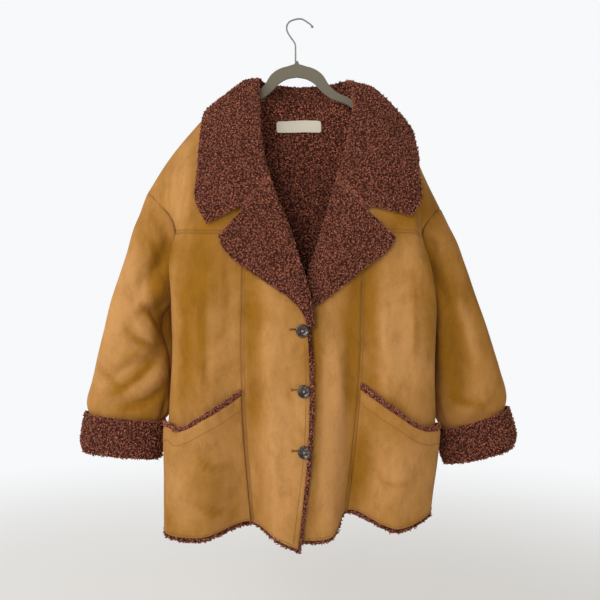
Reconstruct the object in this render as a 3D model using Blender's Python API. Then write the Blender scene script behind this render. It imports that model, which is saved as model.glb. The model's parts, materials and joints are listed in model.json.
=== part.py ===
"""Oversized faux suede coat lined with sherpa, hanging open-necked on a slim hanger.

Metres, +Z up, the coat's front faces -Y. The origin is the inside top of the hanger's hook.
Left and right are those of someone who looks at the coat's front. Tables are in millimetres. Their x and z
are places as seen from SIGHT on the plane y = SEEN_AT_Y, and true_place() carries them to their own depth.
"""

import math

import bmesh
import bpy
import numpy as np
from mathutils import Matrix, Vector
from mathutils.bvhtree import BVHTree

MM = 0.001
SIGHT = (8.0, -1500.0, -559.0)
SEEN_AT_Y = -40.0

CLOTH = 5.0  # suede bonded to sherpa, pressed
STAND_CLOTH = 3.5  # the same, squeezed where the collar is sewn on
PILE_CLOTH = 7.0  # the same cloth with its pile standing outward, on collar and lapels
CUFF_CLOTH = 8.0
POCKET_CLOTH = 4.0
GAP = 0.5  # between pieces at a seam
SLEEVE_GAP = 1.2  # the same at an armhole
GORGE_GAP = 3.0  # between the collar and the lapels
ROLL_RADIUS = 8.5  # of the fold along the collar and the lapels
NARROWEST_ROLL = 2.2  # at the lapels' lower ends
ROLL_GROWTH = 0.15  # more radius for each mm from the roll to the edge
COLLAR_LIFT = 12.0  # visible side of the collar and the lapels above what they lie on
FALL_BULGE = 4.0
POCKET_LIFT = 1.5  # off the coat, at its sewn edges
POCKET_GAPE = 9.0  # how far a pocket's mouth stands off the coat

HOOK_WIRE = 3.2
HANGER_THICK = 5.5
BUTTON_ACROSS = 25.6
BUTTON_THICK = 4.4
BUTTON_HOLE = 2.4
BUTTON_HOLE_SPREAD = 5.6
LABEL_SIZE = (95.0, 25.0)
LABEL_THICK = 0.8
LABEL_LIFT = 2.5  # off the pressed sherpa

# Each rib is a line of the coat from hem to shoulder: (x, y, z) at the hem, pocket, waist, underarm, chest,
# yoke seam, low yoke, high yoke and shoulder seam. One more level is put in below the shoulder seam.
UNDERARM, YOKE_SEAM, SHOULDER = 3, 5, 9
STATIONS = ("side", "fold", "roll", "panel seam", "centre roll", "front edge")
FOLD, PANEL_SEAM, FRONT_EDGE = 1, 3, 5
LEFT_RIBS = {
    "side": (
        (-246, 4, -1008), (-243, 4, -839), (-238, 4, -659), (-234, 5, -565), (-230, -18, -483),
        (-238, -30, -427), (-251, -38, -393), (-274, -28, -366), (-297, 0, -345),
    ),
    "fold": (
        (-258, -52, -1033), (-255, -60, -839), (-245, -64, -659), (-248, -66, -565), (-254, -68, -483),
        (-240, -66, -423), (-229, -62, -349), (-230, -40, -287), (-261, 0, -287),
    ),
    "roll": (
        (-192, -84, -1045), (-188, -88, -839), (-182, -88, -659), (-182, -88, -565), (-182, -86, -483),
        (-178, -82, -423), (-178, -76, -339), (-186, -50, -252), (-212, 0, -225),
    ),
    "panel seam": (
        (-85, -52, -1010), (-101, -72, -839), (-108, -80, -659), (-107, -82, -565), (-106, -84, -483),
        (-106, -84, -423), (-112, -78, -329), (-130, -52, -238), (-158, 0, -171),
    ),
    "centre roll": (
        (-34, -96, -1049), (-38, -100, -839), (-40, -102, -659), (-40, -100, -565), (-44, -94, -483),
        (-56, -90, -423), (-68, -80, -323), (-92, -54, -228), (-120, 0, -148),
    ),
    "front edge": (
        (9, -100, -1068), (34, -106, -839), (34, -106, -659), (24, -104, -565), (3, -98, -483),
        (-20, -92, -423), (-56, -82, -323), (-78, -56, -228), (-80, -4, -127),
    ),
}
RIGHT_RIBS = {
    "side": (
        (258, 4, -975), (258, 4, -839), (260, 4, -659), (256, 5, -579), (246, -18, -495),
        (248, -30, -439), (257, -38, -413), (272, -28, -393), (289, 0, -376),
    ),
    "fold": (
        (262, -52, -993), (277, -60, -839), (277, -64, -659), (280, -66, -565), (268, -68, -483),
        (251, -66, -427), (246, -62, -353), (242, -40, -291), (257, 0, -313),
    ),
    "roll": (
        (208, -82, -1026), (208, -88, -839), (208, -88, -659), (208, -88, -565), (204, -86, -483),
        (200, -82, -421), (196, -76, -339), (192, -50, -252), (226, 0, -237),
    ),
    "panel seam": (
        (98, -50, -989), (116, -72, -839), (130, -80, -659), (132, -82, -565), (136, -84, -483),
        (138, -84, -423), (140, -78, -335), (152, -52, -240), (192, 0, -186),
    ),
    "centre roll": (
        (76, -86, -1038), (64, -92, -839), (68, -93, -659), (72, -90, -565), (80, -90, -483),
        (92, -88, -423), (106, -80, -323), (124, -54, -228), (156, 0, -158),
    ),
    "front edge": (
        (-12, -86, -1049), (-18, -93, -839), (-18, -92, -659), (22, -79, -565), (39, -80, -483),
        (57, -84, -423), (88, -80, -323), (114, -56, -228), (120, -4, -141),
    ),
}

# The back, in true places: how far out each rib lies as a share of the way to the fold, and its depth by level.
BACK_CENTRE_X = 8.0
BACK_SPREAD = {"fold": 0.985, "roll": 0.72, "panel": 0.46, "inner": 0.3, "neck": 0.17}
BACK_DEPTHS = {
    "fold": (38, 42, 46, 50, 52, 51, 47, 34),
    "roll": (58, 58, 58, 58, 58, 56, 51, 40),
    "panel": (46, 54, 58, 60, 60, 58, 54, 44),
    "inner": (60, 61, 62, 62, 62, 60, 57, 46),
    "neck": (64, 63, 63, 63, 63, 62, 60, 52),
}
BACK_HEM = {"left": -1014.0, "centre": -1004.0, "right": -988.0}
BACK_LEVELS_Z = (-1004.0, -830.0, -656.0, -565.0, -478.0, -385.0)  # from hem to the back's yoke seam
BACK_ARMHOLE = {  # (x, y, z) above the underarm
    "left": ((-234, 32, -480), (-247, 42, -398), (-264, 40, -376), (-284, 26, -358)),
    "right": ((252, 32, -493), (262, 42, -408), (270, 40, -394), (282, 26, -384)),
}
BACK_NECK = ((-52, 30, -139), (8, 47, -143), (86, 30, -141))  # between the two ends of the shoulder seams
BACK_NECK_DEPTHS = (66, 66, 65, 65, 64, 63, 61, 56)

# Sleeve rings below the armhole: outer x, outer z, inner x, inner z, front y, back y.
SLEEVE_RINGS = {
    "left": (
        (-317, -401, -250, -568, -46, 50), (-338, -471, -264, -586, -48, 54),
        (-365, -557, -269, -607, -48, 54), (-389, -651, -254, -667, -44, 50),
        (-406, -719, -251, -737, -38, 44), (-416, -767, -256, -783, -36, 42),
        (-408, -796, -274, -808, -30, 36), (-404, -840, -276, -852, -30, 36),
    ),
    "right": (
        (313, -429, 268, -590, -46, 50), (335, -487, 274, -614, -46, 54),
        (358, -557, 275, -637, -44, 54), (383, -627, 275, -683, -40, 52),
        (406, -699, 276, -749, -38, 46), (420, -754, 286, -796, -36, 43),
        (415, -786, 302, -824, -30, 36), (415, -826, 304, -862, -30, 36),
    ),
}
SLEEVE_SQUARENESS = 2.3
# Cuff rings from top to bottom, as above.
CUFF_RINGS = {
    "left": (
        (-424, -782, -258, -800, -45, 49), (-430, -810, -260, -828, -48, 51),
        (-433, -836, -262, -852, -49, 52), (-427, -858, -266, -872, -46, 50),
    ),
    "right": (
        (429, -772, 284, -816, -45, 49), (438, -804, 284, -842, -48, 51),
        (442, -832, 285, -866, -49, 52), (434, -852, 292, -884, -46, 50),
    ),
}

# Lapel rows up the roll line: roll x, roll z, edge x, edge z, both as seen.
LAPEL_ROWS = {
    "left": (
        (39, -612, 24, -613), (38, -588, 15, -589), (31, -549, -12, -556), (20, -506, -67, -517),
        (4, -457, -120, -481), (-14, -403, -147, -453), (-33, -357, -152, -436), (-50, -311, -153, -429),
    ),
    "right": (
        (11, -562, 38, -574), (15, -540, 66, -553), (24, -497, 102, -522),
        (37, -455, 144, -489), (53, -401, 184, -459), (67, -356, 195, -436), (80, -311, 195, -431),
    ),
}
COLLAR_TIP = {"left": (-175, -407), "right": (226, -392)}
# Collar rows on the front, from the lapel up: roll x, y, z; middle x, z; edge x, z, as seen.
COLLAR_FRONT_ROWS = {
    "left": (
        (-57, -80, -283, -128, -325, -198, -364),
        (-65, -72, -248, -132, -270, -193, -298), (-70, -56, -206, -134, -215, -188, -243),
        (-70, -32, -162, -130, -173, -182, -204),
    ),
    "right": (
        (91, -80, -280, 166, -325, 244, -364),
        (101, -72, -241, 170, -272, 240, -306), (108, -56, -199, 170, -219, 233, -254),
        (112, -32, -162, 170, -174, 223, -215),
    ),
}
# Collar rows over the shoulders and round the back: roll, middle and edge, each x, y, z as seen.
COLLAR_BACK_ROWS = (
    (-68, 0, -116, -116, 4, -129, -175, 4, -172),
    (-58, 24, -124, -100, 42, -150, -150, 56, -212),
    (-30, 42, -128, -52, 66, -170, -80, 70, -246),
    (8, 50, -131, 8, 74, -178, 8, 76, -256),
    (44, 44, -129, 66, 66, -172, 96, 70, -252),
    (76, 24, -124, 116, 42, -150, 166, 54, -222),
    (106, 0, -120, 152, 4, -134, 210, 4, -190),
)

# Pocket mouths, as seen, from the side towards the panel seam.
POCKET_LIP = {
    "left": ((-262, -811), (-252, -813), (-236, -822), (-216, -817), (-190, -802), (-150, -776), (-106, -748)),
    "right": ((284, -815), (276, -818), (256, -820), (234, -812), (206, -792), (168, -764), (122, -731)),
}
POCKET_FUR = 10.0  # the sherpa stands above the suede of the lip
POCKET_LIP_NEAR = (0.6, 0.9, 1.3, 1.6, 2.1, 2.5, 2.95)  # stations near those points
POCKET_STATIONS = (0.55, 0.8, 1.0, 1.2, 1.45, 1.7, 2.0, 2.3, 2.65, 2.95)
POCKET_ROWS = (0, 0.2, 0.45, 0.7, 0.88, 1.0, 1.01)  # shares of the height, the last one for the fur above the lip
POCKET_FOOT = 0.015  # level

BUTTONS = ((13, -621), (16, -742), (17, -864))
BUTTON_LIFT = 1.2
BUTTON_PROFILE = (  # shares of the radius and of the thickness
    (0, 0), (0.8, 0), (1, 0.35), (1, 0.65), (0.9, 1), (0.74, 0.95), (0.62, 0.62), (0, 0.6),
)
LABEL_AT = (5.5, -190.0)

HOOK = (
    (-1, -82), (-1, -61), (-2, -47), (-9, -36), (-15, -27), (-18.5, -18.5), (-18, -10), (-12, -2), (-5, 1),
    (2, 2.8), (12, 2.6), (19, -1), (24, -4.5), (29, -8), (32.5, -12.5),
)
# The hanger's upper edge on one side, and the lower one: distance from its middle, z.
HANGER_MIDDLE_X = 1.5
HANGER_TOP = (
    (0, -89), (30, -96), (51, -111), (65, -131), (78, -143), (100, -153), (142, -178), (182, -210), (194, -222),
)
HANGER_BOTTOM = (
    (0, -114), (20, -118), (34, -126), (47, -139), (62, -152), (100, -168), (142, -194), (180, -224), (190, -233),
)
HANGER_NUB = (8.0, -83.5)  # half width and top of the collar that holds the hook

COLOURS = {
    "suede": (0.47, 0.24, 0.065, 1),
    "sherpa": (0.107, 0.035, 0.025, 1),
    "horn": (0.05, 0.03, 0.02, 1),
    "tape": (0.75, 0.68, 0.52, 1),
    "velvet": (0.2, 0.18, 0.13, 1),
    "chrome": (0.75, 0.75, 0.76, 1),
}
ROUGHNESS = {"suede": 0.85, "sherpa": 0.95, "horn": 0.35, "tape": 0.7, "velvet": 0.9, "chrome": 0.12}


def true_place(x, y, z):
    """The point at depth y that is seen at x, z."""
    reach = (y - SIGHT[1]) / (SEEN_AT_Y - SIGHT[1])
    return np.array((SIGHT[0] + (x - SIGHT[0]) * reach, y, SIGHT[2] + (z - SIGHT[2]) * reach))


def seen(point):
    """Where a point is seen, as x and z."""
    reach = (point[1] - SIGHT[1]) / (SEEN_AT_Y - SIGHT[1])
    return np.array((SIGHT[0] + (point[0] - SIGHT[0]) / reach, SIGHT[2] + (point[2] - SIGHT[2]) / reach))


def unit(vector):
    return vector / max(np.linalg.norm(vector), 1e-9)


def smooth(values, at):
    """A smooth curve through values, read at a place counted in values. Its slopes respect uneven spacing."""
    last = len(values) - 1
    i = int(min(max(math.floor(at), 0), last - 1))
    f = at - i
    b, c = values[i], values[i + 1]
    a = values[i - 1] if i > 0 else 2 * b - c
    d = values[i + 2] if i + 2 <= last else 2 * c - b
    before, here, after = (max(float(np.linalg.norm(step)), 1e-6) for step in (b - a, c - b, d - c))
    lean_b = ((b - a) * here**2 / before + (c - b) * before) / (before + here)
    lean_c = ((c - b) * after + (d - c) * here**2 / after) / (here + after)
    rise = f * f * (3 - 2 * f)
    return b + (c - b) * rise + (f - 1) ** 2 * f * lean_b + (f - 1) * f * f * lean_c


class Surface:
    """Cloth that runs smoothly through ribs: stations across, levels up. The first rib may turn at the underarm."""

    def __init__(self, ribs, turns=True):
        self.ribs = np.array(ribs, float)
        self.turns = turns

    def point(self, station, level):
        places = [smooth(rib, level) for rib in self.ribs]
        if self.turns and level <= UNDERARM:
            places[0] = smooth(self.ribs[0][: UNDERARM + 1], level)
        elif self.turns:
            places[0] = smooth(self.ribs[0][UNDERARM:], level - UNDERARM)
        return smooth(places, station)

    def normal(self, station, level, sense):
        across = self.point(station + 0.02, level) - self.point(station - 0.02, level)
        up = self.point(station, level + 0.02) - self.point(station, level - 0.02)
        return sense * unit(np.cross(across, up))

    def locate(self, x, z, station, level):
        """The station and level that are seen at x, z, found from a first guess."""
        for _ in range(10):
            here = seen(self.point(station, level))
            slope = np.array((
                (seen(self.point(station + 0.01, level)) - here) / 0.01,
                (seen(self.point(station, level + 0.01)) - here) / 0.01,
            )).T
            step = np.linalg.solve(slope, np.array((x, z)) - here)
            station, level = np.array((station, level)) + np.clip(step, -0.5, 0.5)
        return station, level


def with_shoulder_turn(rib, lift):
    """The rib with one more level just below the shoulder seam, where the cloth turns over the hanger."""
    turn = rib[-1] + 0.3 * (rib[-2] - rib[-1]) + np.array((0, 0, lift))
    return [*rib[:-1], turn, rib[-1]]


def front_surface(ribs):
    made = [[true_place(*place) for place in ribs[station]] for station in STATIONS]
    lifts = (2, 3, 5, 6, 7, 6)
    return Surface([with_shoulder_turn(rib, lift) for rib, lift in zip(made, lifts)])


def back_side_surface(side, front):
    """Half of the back: its side and its shoulder seam are those of the front."""
    ribs = front.ribs
    armhole = [np.array(place, float) for place in BACK_ARMHOLE[side]]
    made = [[*ribs[0][: UNDERARM + 1], *armhole, ribs[0][-1]]]
    for index, name in enumerate(BACK_SPREAD, start=1):
        depths = BACK_DEPTHS[name]
        rib = []
        for level, z in enumerate(BACK_LEVELS_Z):
            fold_x = ribs[FOLD][level][0]
            x = BACK_CENTRE_X + BACK_SPREAD[name] * (fold_x - BACK_CENTRE_X)
            if level == 0:
                z = BACK_HEM["centre"] + BACK_SPREAD[name] * (BACK_HEM[side] - BACK_HEM["centre"])
            rib.append(np.array((x, depths[level], z)))
        shoulder = ribs[index][-1]
        for level, share in ((6, 0.4), (7, 0.78)):
            place = rib[5] + share * (shoulder - rib[5])
            place[1] = depths[level]
            rib.append(place)
        made.append([*rib, shoulder])
    lifts = (2, 3, 5, 6, 7, 6)
    return Surface([with_shoulder_turn(rib, lift) for rib, lift in zip(made, lifts)])


def back_middle_surface(left, right):
    """The back between the necks' ends: its outer ribs are the innermost ones of the two sides."""
    a, b = left.ribs[-1], right.ribs[-1]
    ribs = [a]
    for share, neck in zip((0.25, 0.5, 0.75), BACK_NECK):
        rib = []
        for level in range(SHOULDER):
            place = a[level] + share * (b[level] - a[level])
            if level < len(BACK_NECK_DEPTHS):
                place[1] += (BACK_NECK_DEPTHS[level] - place[1]) * math.sin(math.pi * share)
            rib.append(place)
        rib[0][2] = BACK_HEM["centre"]
        rib[-1] = rib[-2] + 0.8 * (np.array(neck) - rib[-2]) + np.array((0, 2, 0))
        ribs.append([*rib, np.array(neck, float)])
    return Surface([*ribs, b], turns=False)


def spaced(start, end, count):
    return [start + (end - start) * i / (count - 1) for i in range(count)]


BODY_LEVELS = [0, 0.45, 1, 1.5, 2, 2.5, 3, 3.5, 4, 4.5, YOKE_SEAM]
YOKE_LEVELS = [YOKE_SEAM, 5.6, 6.2, 6.8, 7.4, 8, 8.5, SHOULDER]
SIDE_STATIONS = [0, 0.4, 0.8, 1.2, 1.7, 2.3, PANEL_SEAM]
CENTRE_STATIONS = [PANEL_SEAM, 3.4, 3.9, 4.4, FRONT_EDGE]
MIDDLE_STATIONS = spaced(0, 4, 13)
SLEEVE_ROWS = 13
CUFF_POINTS = 22
CUFF_ROWS = 6


def sampled(surface, stations, levels):
    return np.array([[surface.point(s, t) for t in levels] for s in stations])


class Piece:
    """One cloth piece: its visible points across and up, and whether it closes on itself across."""

    def __init__(self, name, grid, wall, material, ring=False, turned=False, seam_gap=GAP):
        self.name, self.grid, self.material, self.wall = name, grid, material, wall
        self.ring, self.turned, self.seam_gap = ring, turned, seam_gap

    def quads(self):
        across, up = self.grid.shape[:2]
        for i in range(across if self.ring else across - 1):
            for j in range(up - 1):
                corners = ((i, j), ((i + 1) % across, j), ((i + 1) % across, j + 1), (i, j + 1))
                yield corners[::-1] if self.turned else corners


ON_OVER_A_RIDGE = -0.4  # least cosine between the normals of cloth that goes on from piece to piece
ON_INTO_A_SLEEVE = 0.1


def place_key(point):
    return tuple(np.round(point * 20).astype(int))


def own_normals(piece):
    sums = np.zeros(piece.grid.shape)
    for quad in piece.quads():
        a, b, c, d = (piece.grid[corner] for corner in quad)
        for corner in quad:
            sums[corner] += np.cross(c - a, d - b)
    return sums / np.linalg.norm(sums, axis=2, keepdims=True)


def shared_normals(pieces):
    """Each piece's normals, averaged with those of the pieces that go on from it at a seam."""
    own = [own_normals(piece) for piece in pieces]
    met = {}
    for piece, normals in sorted(zip(pieces, own), key=lambda pair: pair[0].ring):
        least = ON_INTO_A_SLEEVE if piece.ring else ON_OVER_A_RIDGE
        for at in np.ndindex(normals.shape[:2]):
            sheets = met.setdefault(place_key(piece.grid[at]), [])
            joined = [sheet for sheet in sheets if unit(sum(n for n, _, _ in sheet)).dot(normals[at]) > least]
            if joined:
                joined[0].append((normals[at], normals, at))
            else:
                sheets.append([(normals[at], normals, at)])
    for sheets in met.values():
        for sheet in sheets:
            mean = unit(sum(n.copy() for n, _, _ in sheet))
            for _, normals, at in sheet:
                normals[at] = mean
    return own


def drawn_in(grid, gap, across=True, up=True):
    """The grid with its end rows across, its end rows up or both moved in by half the gap."""
    moved = grid.copy()
    if across:
        for end, inward in ((0, 1), (-1, -2)):
            moved[end] += gap / 2 * np.array([unit(v) for v in grid[inward] - grid[end]])
    if up:
        for end, inward in ((0, 1), (-1, -2)):
            moved[:, end] += gap / 2 * np.array([unit(v) for v in grid[:, inward] - grid[:, end]])
    return moved


def build_wall(piece, normals):
    """Makes the piece's solid: its visible side, the same side moved in by the wall, and the rims between."""
    inner = piece.grid - np.broadcast_to(piece.wall, piece.grid.shape[:2])[..., None] * normals
    outer, inner = (drawn_in(grid, piece.seam_gap, not piece.ring) for grid in (piece.grid, inner))
    return shell_between(piece.name, outer, inner, piece.ring, piece.material)


def shell_between(name, outer, inner, ring, material):
    across, up = outer.shape[:2]
    mesh = bmesh.new()
    out = [[mesh.verts.new(p * MM) for p in row] for row in outer]
    inn = [[mesh.verts.new(p * MM) for p in row] for row in inner]
    for i in range(across if ring else across - 1):
        k = (i + 1) % across
        for j in range(up - 1):
            mesh.faces.new((out[i][j], out[k][j], out[k][j + 1], out[i][j + 1]))
            mesh.faces.new((inn[i][j + 1], inn[k][j + 1], inn[k][j], inn[i][j]))
        mesh.faces.new((out[k][0], out[i][0], inn[i][0], inn[k][0]))
        mesh.faces.new((out[i][-1], out[k][-1], inn[k][-1], inn[i][-1]))
    if not ring:
        for j in range(up - 1):
            mesh.faces.new((out[0][j], out[0][j + 1], inn[0][j + 1], inn[0][j]))
            mesh.faces.new((out[-1][j + 1], out[-1][j], inn[-1][j], inn[-1][j + 1]))
    bmesh.ops.recalc_face_normals(mesh, faces=mesh.faces)
    if mesh.calc_volume(signed=True) < 0:
        bmesh.ops.reverse_faces(mesh, faces=mesh.faces)
    return finished(name, mesh, material)


def finished(name, mesh, material):
    data = bpy.data.meshes.new(name)
    mesh.to_mesh(data)
    mesh.free()
    data.materials.append(material)
    data.shade_smooth()
    data.set_sharp_from_angle(angle=math.radians(50))
    made = bpy.data.objects.new(name, data)
    COAT.objects.link(made)
    return made


def armhole_loop(front, back):
    """The armhole's points from the shoulder down the front and up the back."""
    up = [*(level for level in BODY_LEVELS if level > UNDERARM), *YOKE_LEVELS[1:-1]]
    down = [front.point(0, level) for level in (SHOULDER, *up[::-1], UNDERARM)]
    return [*down, *(back.point(0, level) for level in up)]


def ring_points(row, turns, squareness):
    """Points round a sleeve, from its outer side over the front to its inner side and back."""
    outer_x, outer_z, inner_x, inner_z, front_y, back_y = row
    middle_y = (front_y + back_y) / 2
    outer, inner = true_place(outer_x, middle_y, outer_z), true_place(inner_x, middle_y, inner_z)
    middle, half = (outer + inner) / 2, (outer - inner) / 2
    deep = np.array((0, (back_y - front_y) / 2, 0))
    made = []
    for turn in turns:
        c, s = math.cos(2 * math.pi * turn), math.sin(2 * math.pi * turn)
        along = math.copysign(abs(c) ** (2 / squareness), c)
        out = math.copysign(abs(s) ** (2 / squareness), s)
        made.append(middle + along * half - out * deep)
    return made


def turns_of(loop):
    """How far round each point of an armhole lies, with its underarm at one half."""
    steps = np.linalg.norm(np.diff([*loop, loop[0]], axis=0), axis=1)
    low = int(np.argmin([point[2] for point in loop]))
    down, back = np.cumsum(steps[:low]), np.cumsum(steps[low:])
    return [0.0, *(0.5 * down / down[-1]), *(0.5 + 0.5 * back[:-1] / back[-1])]


def sleeve_grid(side, loop):
    """The sleeve's visible points and its wall, which is pressed thin where it folds in the underarm."""
    turns = turns_of(loop)
    rings = np.array([loop, *(ring_points(row, turns, SLEEVE_SQUARENESS) for row in SLEEVE_RINGS[side])])
    steps = spaced(0, len(rings) - 1, SLEEVE_ROWS)
    grid = np.array([[smooth(rings[:, k], step) for step in steps] for k in range(len(loop))])
    pressed = [[max(1 - 5 * abs(turn - 0.5), 0) * max(1 - step / 2, 0) for step in steps] for turn in turns]
    return grid, CLOTH * (1 - 0.75 * np.array(pressed))


def cuff_grid(side):
    turns = spaced(0, 1, CUFF_POINTS + 1)[:-1]
    rings = np.array([ring_points(row, turns, SLEEVE_SQUARENESS) for row in CUFF_RINGS[side]])
    steps = spaced(0, len(rings) - 1, CUFF_ROWS)
    return np.array([[smooth(rings[:, k], step) for step in steps] for k in range(CUFF_POINTS)])


def roll_section(neck, seam, roll, along, middle, edge, radius):
    """One cut through a fold: points up the stand, over the roll and down the fall, and those behind the first."""
    thin = radius / ROLL_RADIUS
    ways = (neck - roll, middle - roll)
    top = -unit(sum(unit(way - along * way.dot(along)) for way in ways))
    over = unit(np.cross(along, top))
    over = over if over.dot(edge - neck) > 0 else -over
    centre = roll - radius * top
    out = [
        math.sin(a) * top - math.cos(a) * over for a in (math.radians(d) for d in (0, 45, 90, 135, 180))
    ]
    turn = [centre + radius * way for way in out]
    walls = [thin * wall for wall in spaced(STAND_CLOTH, PILE_CLOTH, len(turn))]
    behind = [centre + (radius - wall) * way for way, wall in zip(out, walls)]
    drop = [(turn[-1] + middle) / 2, *(middle + share * (edge - middle) for share in (0, 0.35, 0.7, 1))]
    bulged = [
        p + FALL_BULGE * thin * math.sin(math.pi * f) * over for p, f in zip(drop, (0.25, 0.5, 0.67, 0.85, 1.0))
    ]
    return [neck, *turn, *bulged], [neck + thin * (seam - neck), *behind]


def tree_of(pieces):
    """The pieces' visible sides, for finding what lies under a place."""
    corners, quads = [], []
    for piece in pieces:
        first, up = len(corners), piece.grid.shape[1]
        corners.extend(piece.grid.reshape(-1, 3))
        quads.extend([first + i * up + j for i, j in quad] for quad in piece.quads())
    return BVHTree.FromPolygons(corners, quads)


def clear_of(coat, grid, least):
    """The grid with its fall moved out until its visible side is at least that far off the coat."""
    moved = grid.copy()
    for i, j in np.ndindex(grid.shape[:2]):
        if j < FIRST_OF_FALL:
            continue
        under, normal = coat.find_nearest(Vector(grid[i, j]))[:2]
        short = least[i] - np.dot(grid[i, j] - np.array(under), np.array(normal))
        moved[i, j] += max(short, 0.0) * np.array(normal)
    return moved


def level_seen_at(surface, station, z):
    """The level at which a rib is seen at height z."""
    low, high = 0.0, float(SHOULDER)
    for _ in range(30):
        middle = (low + high) / 2
        low, high = (middle, high) if seen(surface.point(station, middle))[1] < z else (low, middle)
    return (low + high) / 2


def neck_start(surface, level, sense):
    """Where a turned-back piece starts, clear of the front's inner edge: its sherpa side and its suede side."""
    edge = surface.point(FRONT_EDGE, level)
    seam = edge + 2 * GAP * unit(edge - surface.point(FRONT_EDGE - 0.1, level))
    return seam - STAND_CLOTH * surface.normal(FRONT_EDGE, level, sense), seam


def on_panel(surface, x, z, lift, sense, guess):
    station, level = surface.locate(x, z, *guess)
    return surface.point(station, level) + lift * surface.normal(station, level, sense)


FIRST_OF_FALL = 6  # in the points of a cut, after the stand and the roll


def rolled_shell(name, rows, ends, coat, material, turned):
    """A collar or lapel from rows of (neck, seam, roll, middle, edge, radius) and the rolls past its two ends."""
    rolls = [row[2] for row in rows]
    rolls = [rolls[0] if ends[0] is None else ends[0], *rolls, rolls[-1] if ends[1] is None else ends[1]]
    cuts = [
        roll_section(neck, seam, roll, unit(rolls[k + 2] - rolls[k]), middle, edge, radius)
        for k, (neck, seam, roll, middle, edge, radius) in enumerate(rows)
    ]
    visible, behind = (refined(np.array(points), 2) for points in zip(*cuts))
    steps = spaced(0, len(rows) - 1, len(visible))
    thins = np.interp(steps, range(len(rows)), [row[-1] / ROLL_RADIUS for row in rows])
    visible = clear_of(coat, visible, (COLLAR_LIFT + 1.0) * thins)
    inner = visible - PILE_CLOTH * thins[:, None, None] * own_normals(Piece(name, visible, 0, None, turned=turned))
    inner[:, : behind.shape[1]] = behind
    visible, inner = (drawn_in(grid, GORGE_GAP, up=False) for grid in (visible, inner))
    return shell_between(name, visible, inner, False, material)


def refined(grid, per_row):
    """More rows, on smooth curves through the ones given."""
    steps = spaced(0, len(grid) - 1, (len(grid) - 1) * per_row + 1)
    return np.array([[smooth(grid[:, j], step) for j in range(grid.shape[1])] for step in steps])


def lapel_rows(side, surface, sense):
    rows = []
    for roll_x, roll_z, edge_x, edge_z in LAPEL_ROWS[side]:
        reach = math.hypot(roll_x - edge_x, roll_z - edge_z)
        radius = min(ROLL_RADIUS, NARROWEST_ROLL + ROLL_GROWTH * reach)
        level = level_seen_at(surface, FRONT_EDGE, roll_z)
        neck, seam = neck_start(surface, level, sense)
        roll = true_place(roll_x, neck[1] - radius, roll_z)
        guess = (4.5, level)
        lift = COLLAR_LIFT * radius / ROLL_RADIUS
        edge = on_panel(surface, edge_x, edge_z, lift, sense, guess)
        middle_at = (0.5 * (roll_x + edge_x), 0.5 * (roll_z + edge_z))
        middle = on_panel(surface, *middle_at, lift, sense, guess)
        rows.append((neck, seam, roll, middle, edge, radius))
    return rows


def collar_rows(left, right, middle_back, lapels):
    """Rows from the left lapel round the neck to the right one. The end rows share the lapels' folds."""
    fronts = []
    for surface, side, sense, lapel in ((left, "left", 1, lapels[0]), (right, "right", -1, lapels[1])):
        tip = on_panel(surface, *COLLAR_TIP[side], COLLAR_LIFT, sense, (2.0, 6.0))
        part = [(*lapel[-1][:4], tip, ROLL_RADIUS)]
        for roll_x, roll_y, roll_z, mid_x, mid_z, edge_x, edge_z in COLLAR_FRONT_ROWS[side]:
            level = level_seen_at(surface, FRONT_EDGE, roll_z)
            near = min(level, 8.0)
            part.append((
                *neck_start(surface, min(level, 8.7), sense),
                true_place(roll_x, roll_y, roll_z),
                on_panel(surface, mid_x, mid_z, COLLAR_LIFT, sense, (3.5, near)),
                on_panel(surface, edge_x, edge_z, COLLAR_LIFT, sense, (2.0, near)),
                ROLL_RADIUS,
            ))
        fronts.append(part)
    around = []
    shoulders = {0: (left, 1), len(COLLAR_BACK_ROWS) - 1: (right, -1)}
    for k, row in enumerate(COLLAR_BACK_ROWS):
        station = 4 * k / (len(COLLAR_BACK_ROWS) - 1)
        top = middle_back.point(station, SHOULDER)
        normal = middle_back.normal(station, SHOULDER, -1)
        away = unit(top - middle_back.point(station, SHOULDER - 0.1))
        if k in shoulders:
            surface, sense = shoulders[k]
            normal = unit(normal + surface.normal(FRONT_EDGE, SHOULDER, sense))
            away = unit(top - surface.point(FRONT_EDGE - 0.1, SHOULDER))
        seam = top + 2 * GAP * away
        places = (true_place(*row[i : i + 3]) for i in (0, 3, 6))
        around.append((seam - STAND_CLOTH * normal, seam, *places, ROLL_RADIUS))
    return [*fronts[0], *around, *fronts[1][::-1]]


def on_facets(surface, station, level):
    """A point between the side front's own ribs, as straight as its cloth is there."""
    k = max(i for i, s in enumerate(SIDE_STATIONS[:-1]) if s <= station)
    start, end = SIDE_STATIONS[k : k + 2]
    share = (station - start) / (end - start)
    return (1 - share) * surface.point(start, level) + share * surface.point(end, level)


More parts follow.
